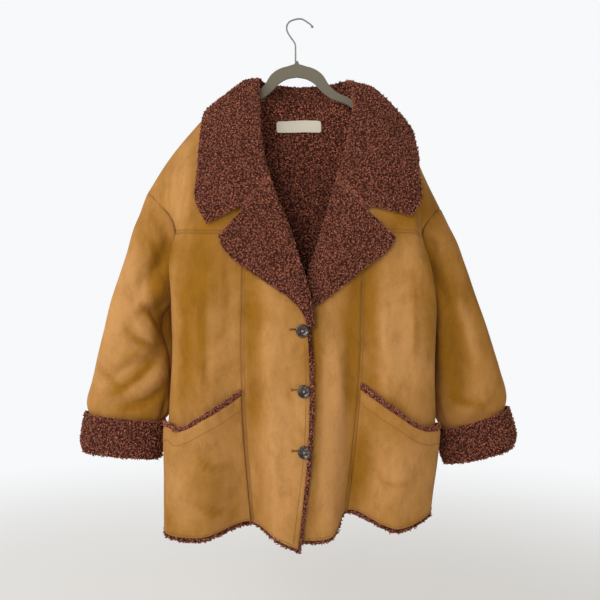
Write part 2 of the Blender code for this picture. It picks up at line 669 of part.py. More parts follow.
def pocket_shell(side, surface, sense, material):
    """A patch that follows the side front, standing off it more towards the mouth."""
    lips = sorted(
        surface.locate(x, z, guess, 1.2) for (x, z), guess in zip(POCKET_LIP[side], POCKET_LIP_NEAR)
    )
    outer, inner = [], []
    for s in POCKET_STATIONS:
        top = np.interp(s, [lip[0] for lip in lips], [lip[1] for lip in lips])
        rise = POCKET_FUR / abs(surface.point(s, top + 0.5)[2] - surface.point(s, top - 0.5)[2])
        share = (s - POCKET_STATIONS[0]) / (POCKET_STATIONS[-1] - POCKET_STATIONS[0])
        gape = POCKET_GAPE * max(math.sin(math.pi * share), 0.0) ** 0.7
        rows = []
        for height in POCKET_ROWS:
            level = POCKET_FOOT + (top - POCKET_FOOT) * min(height, 1.0) + rise * (height > 1.0)
            lift = POCKET_LIFT + gape * min(height, 1.0) ** 1.5
            rows.append((on_facets(surface, s, level), surface.normal(s, level, sense), lift))
        outer.append([p + (lift + POCKET_CLOTH) * n for p, n, lift in rows])
        inner.append([p + lift * n for p, n, lift in rows])
    return shell_between(f"pocket_{side}", np.array(outer), np.array(inner), False, material)


def make_label(middle_back, material):
    """A bare tape on the sherpa side of the back yoke."""
    wide, high = LABEL_SIZE
    face, back = [], []
    for i in range(7):
        column, under = [], []
        for j in range(3):
            x, z = LABEL_AT[0] + wide * (i / 6 - 0.5), LABEL_AT[1] + high * (j / 2 - 0.5)
            station, level = 2.0, 8.0
            for _ in range(12):
                here = middle_back.point(station, level)
                across = (middle_back.point(station + 0.01, level) - here)[[0, 2]] / 0.01
                up = (middle_back.point(station, level + 0.01) - here)[[0, 2]] / 0.01
                step = np.linalg.solve(np.array((across, up)).T, np.array((x, z)) - here[[0, 2]])
                station, level = np.array((station, level)) + np.clip(step, -0.5, 0.5)
            normal = middle_back.normal(station, level, -1)
            under.append(middle_back.point(station, level) - (CLOTH + LABEL_LIFT) * normal)
            column.append(under[-1] - LABEL_THICK * normal)
        face.append(column)
        back.append(under)
    return shell_between("label", np.array(face), np.array(back), False, material)


def make_buttons(surface, material):
    """Four-hole buttons that lie on the left front."""
    for number, (x, z) in enumerate(BUTTONS, start=1):
        station, level = surface.locate(x, z, 4.6, 2.5)
        normal = Vector(surface.normal(station, level, 1))
        seat = Vector(surface.point(station, level)) + BUTTON_LIFT * normal
        mesh = bmesh.new()
        points = [
            mesh.verts.new((out * BUTTON_ACROSS / 2 * MM, 0, up * BUTTON_THICK * MM)) for out, up in BUTTON_PROFILE
        ]
        edges = [mesh.edges.new(pair) for pair in zip(points, points[1:])]
        bmesh.ops.spin(
            mesh, geom=points + edges, axis=(0, 0, 1), cent=(0, 0, 0), steps=14,
            angle=2 * math.pi, use_merge=True,
        )
        bmesh.ops.remove_doubles(mesh, verts=mesh.verts, dist=1e-5)
        bmesh.ops.recalc_face_normals(mesh, faces=mesh.faces)
        button = finished(f"button_{number}", mesh, material)
        button.matrix_world = Matrix.Translation(seat * MM) @ normal.to_track_quat("Z", "Y").to_matrix().to_4x4()
        for across in (-1, 1):
            for up in (-1, 1):
                drill(button, across * BUTTON_HOLE_SPREAD / 2 * MM, up * BUTTON_HOLE_SPREAD / 2 * MM)


def drill(button, across, up):
    hole = bmesh.new()
    bmesh.ops.create_cone(
        hole, cap_ends=True, segments=6, radius1=BUTTON_HOLE / 2 * MM, radius2=BUTTON_HOLE / 2 * MM,
        depth=4 * BUTTON_THICK * MM, matrix=button.matrix_world @ Matrix.Translation((across, up, 0)),
    )
    data = bpy.data.meshes.new("hole")
    hole.to_mesh(data)
    hole.free()
    cutter = bpy.data.objects.new(f"hole_{button.name}", data)
    cutter.hide_render = True
    cutter.display_type = "WIRE"
    CUTTERS.objects.link(cutter)
    cut = button.modifiers.new("hole", "BOOLEAN")
    cut.operation = "DIFFERENCE"
    cut.object = cutter


def at_hanger(distance, z):
    """A place of the hanger, which stands at y = 0, from its seen distance and height."""
    return true_place(HANGER_MIDDLE_X + distance, 0, z)


def make_hanger(velvet, chrome):
    """The slim body as an extruded outline, and its wire hook."""
    half_width, nub_top = HANGER_NUB
    tops = [smooth(np.array(HANGER_TOP, float), i / 2) for i in range(2 * len(HANGER_TOP) - 1)]
    lows = [smooth(np.array(HANGER_BOTTOM, float), i / 2) for i in range(2 * len(HANGER_BOTTOM) - 1)]
    right = [(half_width, nub_top), (half_width + 5, tops[0][1] - 1), *tops[1:], *lows[:0:-1]]
    outline = [*right, (0.0, lows[0][1]), *((-x, z) for x, z in reversed(right))]
    curve = bpy.data.curves.new("hanger_body", "CURVE")
    curve.dimensions = "2D"
    curve.fill_mode = "BOTH"
    curve.extrude = HANGER_THICK / 2 * MM
    line = curve.splines.new("POLY")
    line.use_cyclic_u = True
    line.points.add(len(outline) - 1)
    for point, (distance, z) in zip(line.points, outline):
        place = at_hanger(distance, z)
        point.co = (place[0] * MM, place[2] * MM, 0, 1)
    curve.materials.append(velvet)
    body = bpy.data.objects.new("hanger_body", curve)
    body.rotation_euler = (math.pi / 2, 0, 0)
    COAT.objects.link(body)
    places = np.array([true_place(x, 0, z) for x, z in HOOK])
    wire = bpy.data.curves.new("hanger_hook", "CURVE")
    wire.dimensions = "3D"
    wire.bevel_depth = HOOK_WIRE / 2 * MM
    wire.bevel_resolution = 1
    wire.use_fill_caps = True
    line = wire.splines.new("POLY")
    steps = spaced(0, len(places) - 1, 2 * len(places) - 1)
    line.points.add(len(steps) - 1)
    for point, step in zip(line.points, steps):
        point.co = (*(smooth(places, step) * MM), 1)
    wire.materials.append(chrome)
    COAT.objects.link(bpy.data.objects.new("hanger_hook", wire))


def new_collection(name):
    made = bpy.data.collections.new(name)
    bpy.context.scene.collection.children.link(made)
    return made


def material(name):
    made = bpy.data.materials.new(name)
    made.use_nodes = True
    shader = made.node_tree.nodes["Principled BSDF"]
    shader.inputs["Base Color"].default_value = COLOURS[name]
    shader.inputs["Roughness"].default_value = ROUGHNESS[name]
    shader.inputs["Metallic"].default_value = 1.0 if name == "chrome" else 0.0
    return made


def main():
    suede, sherpa, horn, tape, velvet, chrome = (material(name) for name in COLOURS)
    left, right = front_surface(LEFT_RIBS), front_surface(RIGHT_RIBS)
    back_left, back_right = back_side_surface("left", left), back_side_surface("right", right)
    back_middle = back_middle_surface(back_left, back_right)
    pieces = []
    for side, front, back, turned in (("left", left, back_left, False), ("right", right, back_right, True)):
        yoke_stations = [*SIDE_STATIONS, *CENTRE_STATIONS[1:]]
        for name, stations, levels in (
            ("side_front", SIDE_STATIONS, BODY_LEVELS),
            ("centre_front", CENTRE_STATIONS, BODY_LEVELS),
            ("front_yoke", yoke_stations, YOKE_LEVELS),
        ):
            grid = sampled(front, stations, levels)
            pieces.append(Piece(f"{name}_{side}", grid, CLOTH, suede, turned=turned))
        shape = sleeve_grid(side, armhole_loop(front, back))
        pieces.append(Piece(f"sleeve_{side}", *shape, suede, True, not turned, SLEEVE_GAP))
        grid = cuff_grid(side)
        pieces.append(Piece(f"cuff_{side}", grid, CUFF_CLOTH, sherpa, True, not turned))
    stations = [*SIDE_STATIONS, *CENTRE_STATIONS[1:]]
    for name, levels in (("back_body", BODY_LEVELS), ("back_yoke", YOKE_LEVELS)):
        grid = np.concatenate((
            sampled(back_left, stations, levels),
            sampled(back_middle, MIDDLE_STATIONS[1:-1], levels),
            sampled(back_right, stations[::-1], levels),
        ))
        pieces.append(Piece(name, grid, CLOTH, suede, turned=True))
    for piece, normals in zip(pieces, shared_normals(pieces)):
        build_wall(piece, normals)
    coat = tree_of(pieces)
    lapels = (lapel_rows("left", left, 1), lapel_rows("right", right, -1))
    collar = collar_rows(left, right, back_middle, lapels)
    below = tree_of([piece for piece in pieces if piece.name.endswith("_right")])
    rolled_shell("lapel_left", lapels[0], (None, collar[1][2]), coat, sherpa, False)
    rolled_shell("lapel_right", lapels[1], (None, collar[-2][2]), below, sherpa, True)
    rolled_shell("collar", collar, (lapels[0][-2][2], lapels[1][-2][2]), coat, sherpa, False)
    pocket_shell("left", left, 1, suede)
    pocket_shell("right", right, -1, suede)
    make_label(back_middle, tape)
    make_buttons(left, horn)
    make_hanger(velvet, chrome)


for old in list(bpy.data.objects):
    bpy.data.objects.remove(old, do_unlink=True)
COAT = new_collection("sherpa_coat")
CUTTERS = new_collection("cutters")
main()
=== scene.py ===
"""Faux suede sherpa coat on a slim hanger: cloth, pile, stitching, buttons and a pale stage.

Millimetres in the tables and functions, metres in the scene. +Z up, the coat's front faces -Y, and the origin is
the inside top of the hanger's hook. Left and right are those of someone who looks at the coat's front. The
tables' x and z are places as seen from SIGHT on the plane y = SEEN_AT_Y, unless they say otherwise.
"""

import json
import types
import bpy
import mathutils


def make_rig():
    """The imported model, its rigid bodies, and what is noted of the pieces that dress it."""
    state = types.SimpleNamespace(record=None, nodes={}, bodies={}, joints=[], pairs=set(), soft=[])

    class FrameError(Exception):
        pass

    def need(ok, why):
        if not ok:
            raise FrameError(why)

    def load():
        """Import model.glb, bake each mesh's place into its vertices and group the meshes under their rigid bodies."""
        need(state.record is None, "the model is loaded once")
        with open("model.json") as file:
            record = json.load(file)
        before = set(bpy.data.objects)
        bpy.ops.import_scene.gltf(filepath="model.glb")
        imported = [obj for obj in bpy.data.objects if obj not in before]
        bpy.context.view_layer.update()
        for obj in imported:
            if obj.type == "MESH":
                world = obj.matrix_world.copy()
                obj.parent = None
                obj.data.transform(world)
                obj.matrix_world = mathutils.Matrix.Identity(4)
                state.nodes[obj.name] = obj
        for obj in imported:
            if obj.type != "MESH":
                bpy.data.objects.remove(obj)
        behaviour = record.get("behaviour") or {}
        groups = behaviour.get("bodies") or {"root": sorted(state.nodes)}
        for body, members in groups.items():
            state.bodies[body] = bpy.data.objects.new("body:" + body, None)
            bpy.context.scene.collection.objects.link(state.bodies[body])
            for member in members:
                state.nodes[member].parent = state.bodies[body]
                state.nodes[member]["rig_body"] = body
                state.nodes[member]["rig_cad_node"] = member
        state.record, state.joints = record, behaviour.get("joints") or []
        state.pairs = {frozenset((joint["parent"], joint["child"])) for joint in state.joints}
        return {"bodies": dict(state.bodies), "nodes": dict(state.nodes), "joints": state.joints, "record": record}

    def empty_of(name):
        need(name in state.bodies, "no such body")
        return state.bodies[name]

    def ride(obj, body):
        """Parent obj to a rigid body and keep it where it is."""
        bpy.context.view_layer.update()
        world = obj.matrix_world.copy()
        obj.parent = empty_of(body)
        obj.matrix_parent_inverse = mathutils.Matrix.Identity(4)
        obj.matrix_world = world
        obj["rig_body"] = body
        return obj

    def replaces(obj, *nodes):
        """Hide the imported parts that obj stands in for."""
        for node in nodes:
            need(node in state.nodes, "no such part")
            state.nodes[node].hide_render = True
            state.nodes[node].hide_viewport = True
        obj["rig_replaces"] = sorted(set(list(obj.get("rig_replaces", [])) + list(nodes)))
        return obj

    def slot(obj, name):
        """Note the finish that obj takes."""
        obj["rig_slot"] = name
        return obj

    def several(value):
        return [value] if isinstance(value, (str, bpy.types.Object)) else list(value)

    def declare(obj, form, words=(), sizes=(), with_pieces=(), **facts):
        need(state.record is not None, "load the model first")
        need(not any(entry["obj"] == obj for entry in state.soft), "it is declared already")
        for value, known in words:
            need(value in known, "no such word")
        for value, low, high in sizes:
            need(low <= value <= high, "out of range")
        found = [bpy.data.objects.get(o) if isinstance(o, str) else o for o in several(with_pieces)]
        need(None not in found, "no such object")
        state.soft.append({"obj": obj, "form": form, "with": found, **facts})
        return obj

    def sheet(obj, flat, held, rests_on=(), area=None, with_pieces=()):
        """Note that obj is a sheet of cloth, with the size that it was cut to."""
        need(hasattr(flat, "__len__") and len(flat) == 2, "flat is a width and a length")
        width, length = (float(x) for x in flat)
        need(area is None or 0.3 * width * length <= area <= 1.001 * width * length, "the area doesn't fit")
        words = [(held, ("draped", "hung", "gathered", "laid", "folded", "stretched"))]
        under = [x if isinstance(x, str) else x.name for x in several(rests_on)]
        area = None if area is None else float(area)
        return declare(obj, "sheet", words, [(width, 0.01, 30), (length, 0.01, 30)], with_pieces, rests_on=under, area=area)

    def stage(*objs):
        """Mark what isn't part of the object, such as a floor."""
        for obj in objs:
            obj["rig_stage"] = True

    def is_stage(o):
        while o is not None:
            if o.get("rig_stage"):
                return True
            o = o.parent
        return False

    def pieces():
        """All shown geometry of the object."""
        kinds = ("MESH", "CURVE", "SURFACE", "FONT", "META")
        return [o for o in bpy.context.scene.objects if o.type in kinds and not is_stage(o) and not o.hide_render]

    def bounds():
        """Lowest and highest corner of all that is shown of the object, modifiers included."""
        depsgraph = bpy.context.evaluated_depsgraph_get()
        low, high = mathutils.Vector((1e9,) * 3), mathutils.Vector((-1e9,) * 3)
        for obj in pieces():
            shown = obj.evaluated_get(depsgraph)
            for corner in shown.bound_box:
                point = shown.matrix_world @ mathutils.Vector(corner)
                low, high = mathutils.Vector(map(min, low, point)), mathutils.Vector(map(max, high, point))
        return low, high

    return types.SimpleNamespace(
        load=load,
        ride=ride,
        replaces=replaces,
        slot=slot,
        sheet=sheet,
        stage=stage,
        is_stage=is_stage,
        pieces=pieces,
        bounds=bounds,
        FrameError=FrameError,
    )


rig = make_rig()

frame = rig.load()

import json
import math

import bmesh
import bpy
import numpy as np
from mathutils import Matrix, Vector
from mathutils.bvhtree import BVHTree

bl_info = {
    "name": "Suede and Sherpa Coat",
    "version": (1, 0, 0),
    "blender": (4, 5, 0),
    "location": "3D View > Sidebar > Coat",
    "description": "Builds a suede-faced sherpa coat that hangs on a slim hanger",
    "category": "Add Mesh",
}

MM = 0.001
FINISHES = {}  # filled by make_finishes
CLOTHS = []  # holds the one Cloth once it is worked out
SIGHT = (8.0, -1500.0, -559.0)
SEEN_AT_Y = -40.0

CLOTH = 5.0  # suede bonded to sherpa, pressed
STAND_CLOTH = 3.5  # the same, squeezed where the collar is sewn on
POCKET_CLOTH = 4.0
GAP = 0.5  # between pieces at a seam
GORGE_GAP = 3.0  # between the collar and the lapels
ROLL_RADIUS = 8.5  # of the fold along the collar and the lapels
NARROWEST_ROLL = 2.2  # at the lapels' lower ends
ROLL_GROWTH = 0.15  # more radius for each mm from the roll to the edge
COLLAR_LIFT = 12.0  # visible side of the collar and the lapels above what they lie on
FALL_BULGE = 4.0
POCKET_LIFT = 1.5  # off the coat, at its sewn edges
POCKET_GAPE = 9.0  # how far a pocket's mouth stands off the coat

HOOK_WIRE = 3.2
HANGER_THICK = 5.5
BUTTON_ACROSS = 25.6
BUTTON_THICK = 4.4
BUTTON_HOLE = 2.4
BUTTON_HOLE_SPREAD = 5.6
LABEL_SIZE = (95.0, 25.0)
LABEL_THICK = 0.8
LABEL_LIFT = 2.5  # off the pressed sherpa

# Each rib is a line of the coat from hem to shoulder: (x, y, z) at the hem, pocket, waist, underarm, chest,
# yoke seam, low yoke, high yoke and shoulder seam. One more level is put in below the shoulder seam.
UNDERARM, YOKE_SEAM, SHOULDER = 3, 5, 9
STATIONS = ("side", "fold", "roll", "panel seam", "centre roll", "front edge")
FOLD, PANEL_SEAM, FRONT_EDGE = 1, 3, 5
LEFT_RIBS = {
    "side": (
        (-246, 4, -1008), (-243, 4, -839), (-238, 4, -659), (-234, 5, -565), (-230, -18, -483),
        (-238, -30, -427), (-251, -38, -393), (-274, -28, -366), (-297, 0, -345),
    ),
    "fold": (
        (-258, -52, -1033), (-255, -60, -839), (-245, -64, -659), (-248, -66, -565), (-254, -68, -483),
        (-240, -66, -423), (-229, -62, -349), (-230, -40, -287), (-261, 0, -287),
    ),
    "roll": (
        (-192, -84, -1045), (-188, -88, -839), (-182, -88, -659), (-182, -88, -565), (-182, -86, -483),
        (-178, -82, -423), (-178, -76, -339), (-186, -50, -252), (-212, 0, -225),
    ),
    "panel seam": (
        (-85, -52, -1010), (-101, -72, -839), (-108, -80, -659), (-107, -82, -565), (-106, -84, -483),
        (-106, -84, -423), (-112, -78, -329), (-130, -52, -238), (-158, 0, -171),
    ),
    "centre roll": (
        (-34, -96, -1049), (-38, -100, -839), (-40, -102, -659), (-40, -100, -565), (-44, -94, -483),
        (-56, -90, -423), (-68, -80, -323), (-92, -54, -228), (-120, 0, -148),
    ),
    "front edge": (
        (9, -100, -1068), (34, -106, -839), (34, -106, -659), (24, -104, -565), (3, -98, -483),
        (-20, -92, -423), (-56, -82, -323), (-78, -56, -228), (-80, -4, -127),
    ),
}
RIGHT_RIBS = {
    "side": (
        (258, 4, -975), (258, 4, -839), (260, 4, -659), (256, 5, -579), (246, -18, -495),
        (248, -30, -439), (257, -38, -413), (272, -28, -393), (289, 0, -376),
    ),
    "fold": (
        (262, -52, -993), (277, -60, -839), (277, -64, -659), (280, -66, -565), (268, -68, -483),
        (251, -66, -427), (246, -62, -353), (242, -40, -291), (257, 0, -313),
    ),
    "roll": (
        (208, -82, -1026), (208, -88, -839), (208, -88, -659), (208, -88, -565), (204, -86, -483),
        (200, -82, -421), (196, -76, -339), (192, -50, -252), (226, 0, -237),
    ),
    "panel seam": (
        (98, -50, -989), (116, -72, -839), (130, -80, -659), (132, -82, -565), (136, -84, -483),
        (138, -84, -423), (140, -78, -335), (152, -52, -240), (192, 0, -186),
    ),
    "centre roll": (
        (76, -86, -1038), (64, -92, -839), (68, -93, -659), (72, -90, -565), (80, -90, -483),
        (92, -88, -423), (106, -80, -323), (124, -54, -228), (156, 0, -158),
    ),
    "front edge": (
        (-12, -86, -1049), (-18, -93, -839), (-18, -92, -659), (22, -79, -565), (39, -80, -483),
        (57, -84, -423), (88, -80, -323), (114, -56, -228), (120, -4, -141),
    ),
}

# The back, in true places: how far out each rib lies as a share of the way to the fold, and its depth by level.
BACK_CENTRE_X = 8.0
BACK_SPREAD = {"fold": 0.985, "roll": 0.72, "panel": 0.46, "inner": 0.3, "neck": 0.17}
BACK_DEPTHS = {
    "fold": (38, 42, 46, 50, 52, 51, 47, 34),
    "roll": (58, 58, 58, 58, 58, 56, 51, 40),
    "panel": (46, 54, 58, 60, 60, 58, 54, 44),
    "inner": (60, 61, 62, 62, 62, 60, 57, 46),
    "neck": (64, 63, 63, 63, 63, 62, 60, 52),
}
BACK_HEM = {"left": -1014.0, "centre": -1004.0, "right": -988.0}
BACK_LEVELS_Z = (-1004.0, -830.0, -656.0, -565.0, -478.0, -385.0)  # from hem to the back's yoke seam
BACK_ARMHOLE = {  # (x, y, z) above the underarm
    "left": ((-234, 32, -480), (-247, 42, -398), (-264, 40, -376), (-284, 26, -358)),
    "right": ((252, 32, -493), (262, 42, -408), (270, 40, -394), (282, 26, -384)),
}
BACK_NECK = ((-52, 30, -139), (8, 47, -143), (86, 30, -141))  # between the two ends of the shoulder seams
BACK_NECK_DEPTHS = (66, 66, 65, 65, 64, 63, 61, 56)

# Sleeve rings below the armhole: outer x, outer z, inner x, inner z, front y, back y.
SLEEVE_RINGS = {
    "left": (
        (-317, -401, -250, -568, -46, 50), (-338, -471, -264, -586, -48, 54),
        (-365, -557, -269, -607, -48, 54), (-389, -651, -254, -667, -44, 50),
        (-406, -719, -251, -737, -38, 44), (-416, -767, -256, -783, -36, 42),
        (-408, -796, -274, -808, -30, 36), (-404, -840, -276, -852, -30, 36),
    ),
    "right": (
        (313, -429, 268, -590, -46, 50), (335, -487, 274, -614, -46, 54),
        (358, -557, 275, -637, -44, 54), (383, -627, 275, -683, -40, 52),
        (406, -699, 276, -749, -38, 46), (420, -754, 286, -796, -36, 43),
        (415, -786, 302, -824, -30, 36), (415, -826, 304, -862, -30, 36),
    ),
}
SLEEVE_SQUARENESS = 2.3
# Cuff rings from top to bottom, as above.
CUFF_RINGS = {
    "left": (
        (-424, -782, -258, -800, -45, 49), (-430, -810, -260, -828, -48, 51),
        (-433, -836, -262, -852, -49, 52), (-427, -858, -266, -872, -46, 50),
    ),
    "right": (
        (429, -772, 284, -816, -45, 49), (438, -804, 284, -842, -48, 51),
        (442, -832, 285, -866, -49, 52), (434, -852, 292, -884, -46, 50),
    ),
}

# Lapel rows up the roll line: roll x, roll z, edge x, edge z, both as seen.
LAPEL_ROWS = {
    "left": (
        (39, -612, 24, -613), (38, -588, 15, -589), (31, -549, -12, -556), (20, -506, -67, -517),
        (4, -457, -120, -481), (-14, -403, -147, -453), (-33, -357, -152, -436), (-50, -311, -153, -429),
    ),
    "right": (
        (11, -562, 38, -574), (15, -540, 66, -553), (24, -497, 102, -522),
        (37, -455, 144, -489), (53, -401, 184, -459), (67, -356, 195, -436), (80, -311, 195, -431),
    ),
}
COLLAR_TIP = {"left": (-175, -407), "right": (226, -392)}
# Collar rows on the front, from the lapel up: roll x, y, z; middle x, z; edge x, z, as seen.
COLLAR_FRONT_ROWS = {
    "left": (
        (-57, -80, -283, -128, -325, -198, -364),
        (-65, -72, -248, -132, -270, -193, -298), (-70, -56, -206, -134, -215, -188, -243),
        (-70, -32, -162, -130, -173, -182, -204),
    ),
    "right": (
        (91, -80, -280, 166, -325, 244, -364),
        (101, -72, -241, 170, -272, 240, -306), (108, -56, -199, 170, -219, 233, -254),
        (112, -32, -162, 170, -174, 223, -215),
    ),
}
# Collar rows over the shoulders and round the back: roll, middle and edge, each x, y, z as seen.
COLLAR_BACK_ROWS = (
    (-68, 0, -116, -116, 4, -129, -175, 4, -172),
    (-58, 24, -124, -100, 42, -150, -150, 56, -212),
    (-30, 42, -128, -52, 66, -170, -80, 70, -246),
    (8, 50, -131, 8, 74, -178, 8, 76, -256),
    (44, 44, -129, 66, 66, -172, 96, 70, -252),
    (76, 24, -124, 116, 42, -150, 166, 54, -222),
    (106, 0, -120, 152, 4, -134, 203, 4, -184),
)

# Pocket mouths, as seen, from the side towards the panel seam.
POCKET_LIP = {
    "left": ((-262, -811), (-252, -813), (-236, -822), (-216, -817), (-190, -802), (-150, -776), (-106, -748)),
    "right": ((284, -815), (276, -818), (256, -820), (234, -812), (206, -792), (168, -764), (122, -731)),
}
POCKET_LIP_NEAR = (0.6, 0.9, 1.3, 1.6, 2.1, 2.5, 2.95)  # stations near those points
POCKET_SPAN = (0.55, 2.95)  # stations
POCKET_FOOT = 0.015  # level
POCKET_TALL = 190.0  # about, for the spacing of its rows
POCKET_STEP = 8.0

BUTTONS = ((13, -621), (16, -742), (17, -864))
BUTTON_LIFT = 1.2
LABEL_AT = (5.5, -190.0)

HOOK = (
    (-1, -82), (-1, -61), (-2, -47), (-9, -36), (-15, -27), (-18.5, -18.5), (-18, -10), (-12, -2), (-5, 1),
    (2, 2.8), (12, 2.6), (19, -1), (24, -4.5), (29, -8), (32.5, -12.5),
)
# The hanger's upper edge on one side, and the lower one: distance from its middle, z.
HANGER_MIDDLE_X = 1.5
HANGER_TOP = (
    (0, -89), (30, -96), (51, -111), (65, -131), (78, -143), (100, -153), (142, -178), (182, -210), (194, -222),
)
HANGER_BOTTOM = (
    (0, -114), (20, -118), (34, -126), (47, -139), (62, -152), (100, -168), (142, -194), (180, -224), (190, -233),
)
HANGER_NUB = (8.0, -83.5)  # half width and top of the collar that holds the hook
FIRST_OF_FALL = 6  # in the points of a cut through a fold, after the stand and the roll

SHELL = 3.0  # of the modelled cloth, the pile's locks excepted
EDGE_DIP = 1.5  # the outer side drops this much at a cut edge
EDGE_SOFT = 2.4
CALM_EDGE = 32.0  # creases fade out over this much where two surfaces meet
HEM_PEEK = 6.0  # the sherpa shows this much below the suede's edge
FRONT_STRIP = 8.0  # and beside the left front's edge
HEM_RIM = (True, False, False, False)  # sherpa at the bottom, top, first and last edge
PILE_ROOT = 3.2  # the ground of the pile below the solid's side, on collar and lapels
PILE_BACK = 5.6
CUFF_ROOT = 3.6
CUFF_BACK = 6.6
LIP_PEEK = 0.05  # more of a pocket's height behind than in front
FRINGE_CLOSER = 0.66
NOTCH = 7.1  # where the collar leaves the lapel, in the points of a cut
SEAM_TO_STITCH = 3.0
HEM_TO_STITCH = 12.0
LIP_TO_STITCH = 26
EDGE_TO_STITCH = 16.0
STITCH_RADIUS = 0.55
BUTTONHOLE = 24.0
PULLS, PULL_HEIGHT, PULL_REACH = 9, 1.6, 22.0  # gathers round an armhole
TURNED_PROFILE = (  # of a button: shares of the radius and of the thickness
    (0, 0), (0.86, 0), (0.97, 0.12), (1, 0.38), (0.98, 0.7), (0.93, 0.9), (0.86, 1), (0.78, 0.98), (0.7, 0.84),
    (0.6, 0.66), (0.45, 0.6), (0, 0.6),
)
LABEL_CORNER = 5.0
NUB_PROFILE = ((0.3, 2.0), (0.42, -1.0), (0.7, -4.6), (1.3, -5.8))  # shares of the half width, rise
HOOK_BALL = 2.6
FLOOR_Z = -1.45
AIM = (0.0, 0.0, -0.56)
LIGHTS = (  # name, place, side of the square, watts, colour
    ("front", (-0.9, -2.8, 0.4), 1.2, 41, (1.0, 0.97, 0.93)),
    ("left", (-2.5, -1.5, 0.3), 1.3, 40, (1.0, 0.97, 0.95)),
    ("right", (2.6, -1.8, -0.1), 2.0, 5, (1.0, 0.86, 0.6)),
    ("top", (0.3, 0.6, 2.2), 2.0, 14, (1.0, 1.0, 1.0)),
    ("behind", (0.6, 3.0, 0.8), 3.0, 30, (1.0, 1.0, 1.0)),
)
WORLD_TINT = (0.95, 0.88, 0.78)
TONE = (0.2, 0.1, 0.05, 1)  # in a finish before its own colours are set
# Painted shade: the near black of a buttonhole's opening.
SLIT_SHADE = (0.03, 0.015, 0.006, 1)
HORN = {"Dark": (0.016, 0.009, 0.007, 1), "Vein": (0.13, 0.09, 0.065, 1)}
# Grey metal, darker than bright chrome: partly its own colour, partly a painted reflection of the dark surroundings
# that it would reflect.
CHROME = (0.2, 0.2, 0.21, 1)
INSIDE_PAINTED_LIGHT = 1.8  # Painted light: the tips of the locks inside the neck are made this much lighter, as that place catches little light.
BACKDROP = (0.93, 0.945, 0.955)
FLOOR_FADE = 3.2  # metres from the middle at which the floor has become as light as the backdrop
WORLD_STRENGTH = 0.34

SHOULDER_LIFTS = (2, 3, 5, 6, 7, 6)
EDGE_ROWS = (0.0, 1.4, 3.4)  # rows of points close to a cut edge, from it
EDGE_TO_BODY = 7.5
EVEN_STEPS = (0.7548777, 0.5698403)  # steps along both sides of a face that leave no clumps
CURL_TAPER = (1.0, 1.0, 0.0)  # of a lock from root to tip
THIRD_TURN = 2.094
CREASE_STRENGTH = 1.35
SIDE_BLEND = 1.4  # how soon the front's creases give way to the back's where the cloth turns
EDGE_ON = 1.7  # how soon creases come in on cloth that isn't seen edge on, so that the outline stays smooth
COLLAR_WAVES = (0.8, 1.4)  # height and closeness
CUFF_WAVES = (1.2, 1.3)
ROLLED_STEP = 7.0  # between the rows of points of the collar, lapels and cuffs
SHARP = {"cloth": 55, "button": 35, "hanger": 50}  # degrees from which an edge isn't smooth
HOLE_STITCH = 0.9  # from one stitch of a buttonhole to the next
BEVEL = 1.2  # of the hanger's edge

# Creases: height (a valley is less than nothing), width, and x, z of the places on its line, as seen.
FRONT_CREASES = (
    (-5, 9, -231, -265, -229, -330, -238, -395, -246, -440), (3, 12, -212, -250, -210, -330, -214, -400),
    (-2.6, 7, -236, -418, -250, -450, -256, -490, -250, -540),
    (-1.8, 4, -180, -520, -174, -620, -178, -720, -186, -790), (1.3, 6, -192, -530, -186, -630, -190, -730),
    (-1.5, 5, -205, -470, -208, -560, -216, -650, -214, -720), (1.8, 14, -225, -470, -232, -590, -228, -700),
    (-4, 13, -92, -480, -88, -600, -84, -720, -80, -840, -72, -930),
    (3.2, 14, -58, -560, -52, -680, -46, -800, -40, -930), (-1.6, 10, -20, -660, -14, -760, -18, -870, -30, -960),
    (-2.4, 9, -4, -900, -20, -960, -46, -1010), (-1.5, 5, -126, -380, -140, -402, -168, -412),
    (-2, 5, -226, -800, -180, -812, -140, -790), (-1.6, 12, -222, -860, -190, -905, -140, -925, -112, -900),
    (2.2, 12, -232, -905, -196, -950, -150, -965), (-2, 9, -170, -1000, -140, -960, -110, -950),
    (-1.3, 3, -120, -862, -104, -856), (-1.3, 3, -124, -884, -103, -880), (-1.4, 3, -118, -912, -101, -905),
    (-1.2, 3, -116, -940, -99, -936), (-4.5, 9, 254, -300, 252, -370, 256, -440, 266, -500),
    (-3.4, 11, 142, -470, 140, -560, 146, -650, 152, -735), (3.6, 15, 172, -500, 168, -590, 180, -680, 186, -750),
    (-1.8, 6, 216, -560, 208, -640, 214, -720), (1.6, 10, 236, -520, 240, -620, 236, -710),
    (-2.4, 10, 44, -600, 52, -700, 50, -820, 44, -930), (2.8, 13, 76, -600, 84, -720, 80, -850, 70, -960),
    (-2.4, 10, 104, -640, 108, -760, 100, -880), (-1.6, 5, 176, -402, 206, -414, 236, -410),
    (-3, 12, 150, -800, 158, -870, 150, -950), (2.6, 16, 196, -830, 210, -900, 200, -970),
    (-2.2, 9, 262, -850, 248, -920, 228, -980), (-1.6, 3, 108, -880, 128, -892), (-1.5, 3, 105, -905, 130, -918),
    (-1.6, 3, 103, -930, 126, -944), (-1.2, 3, 112, -850, 134, -858), (-1.4, 3, 100, -958, 124, -964),
)
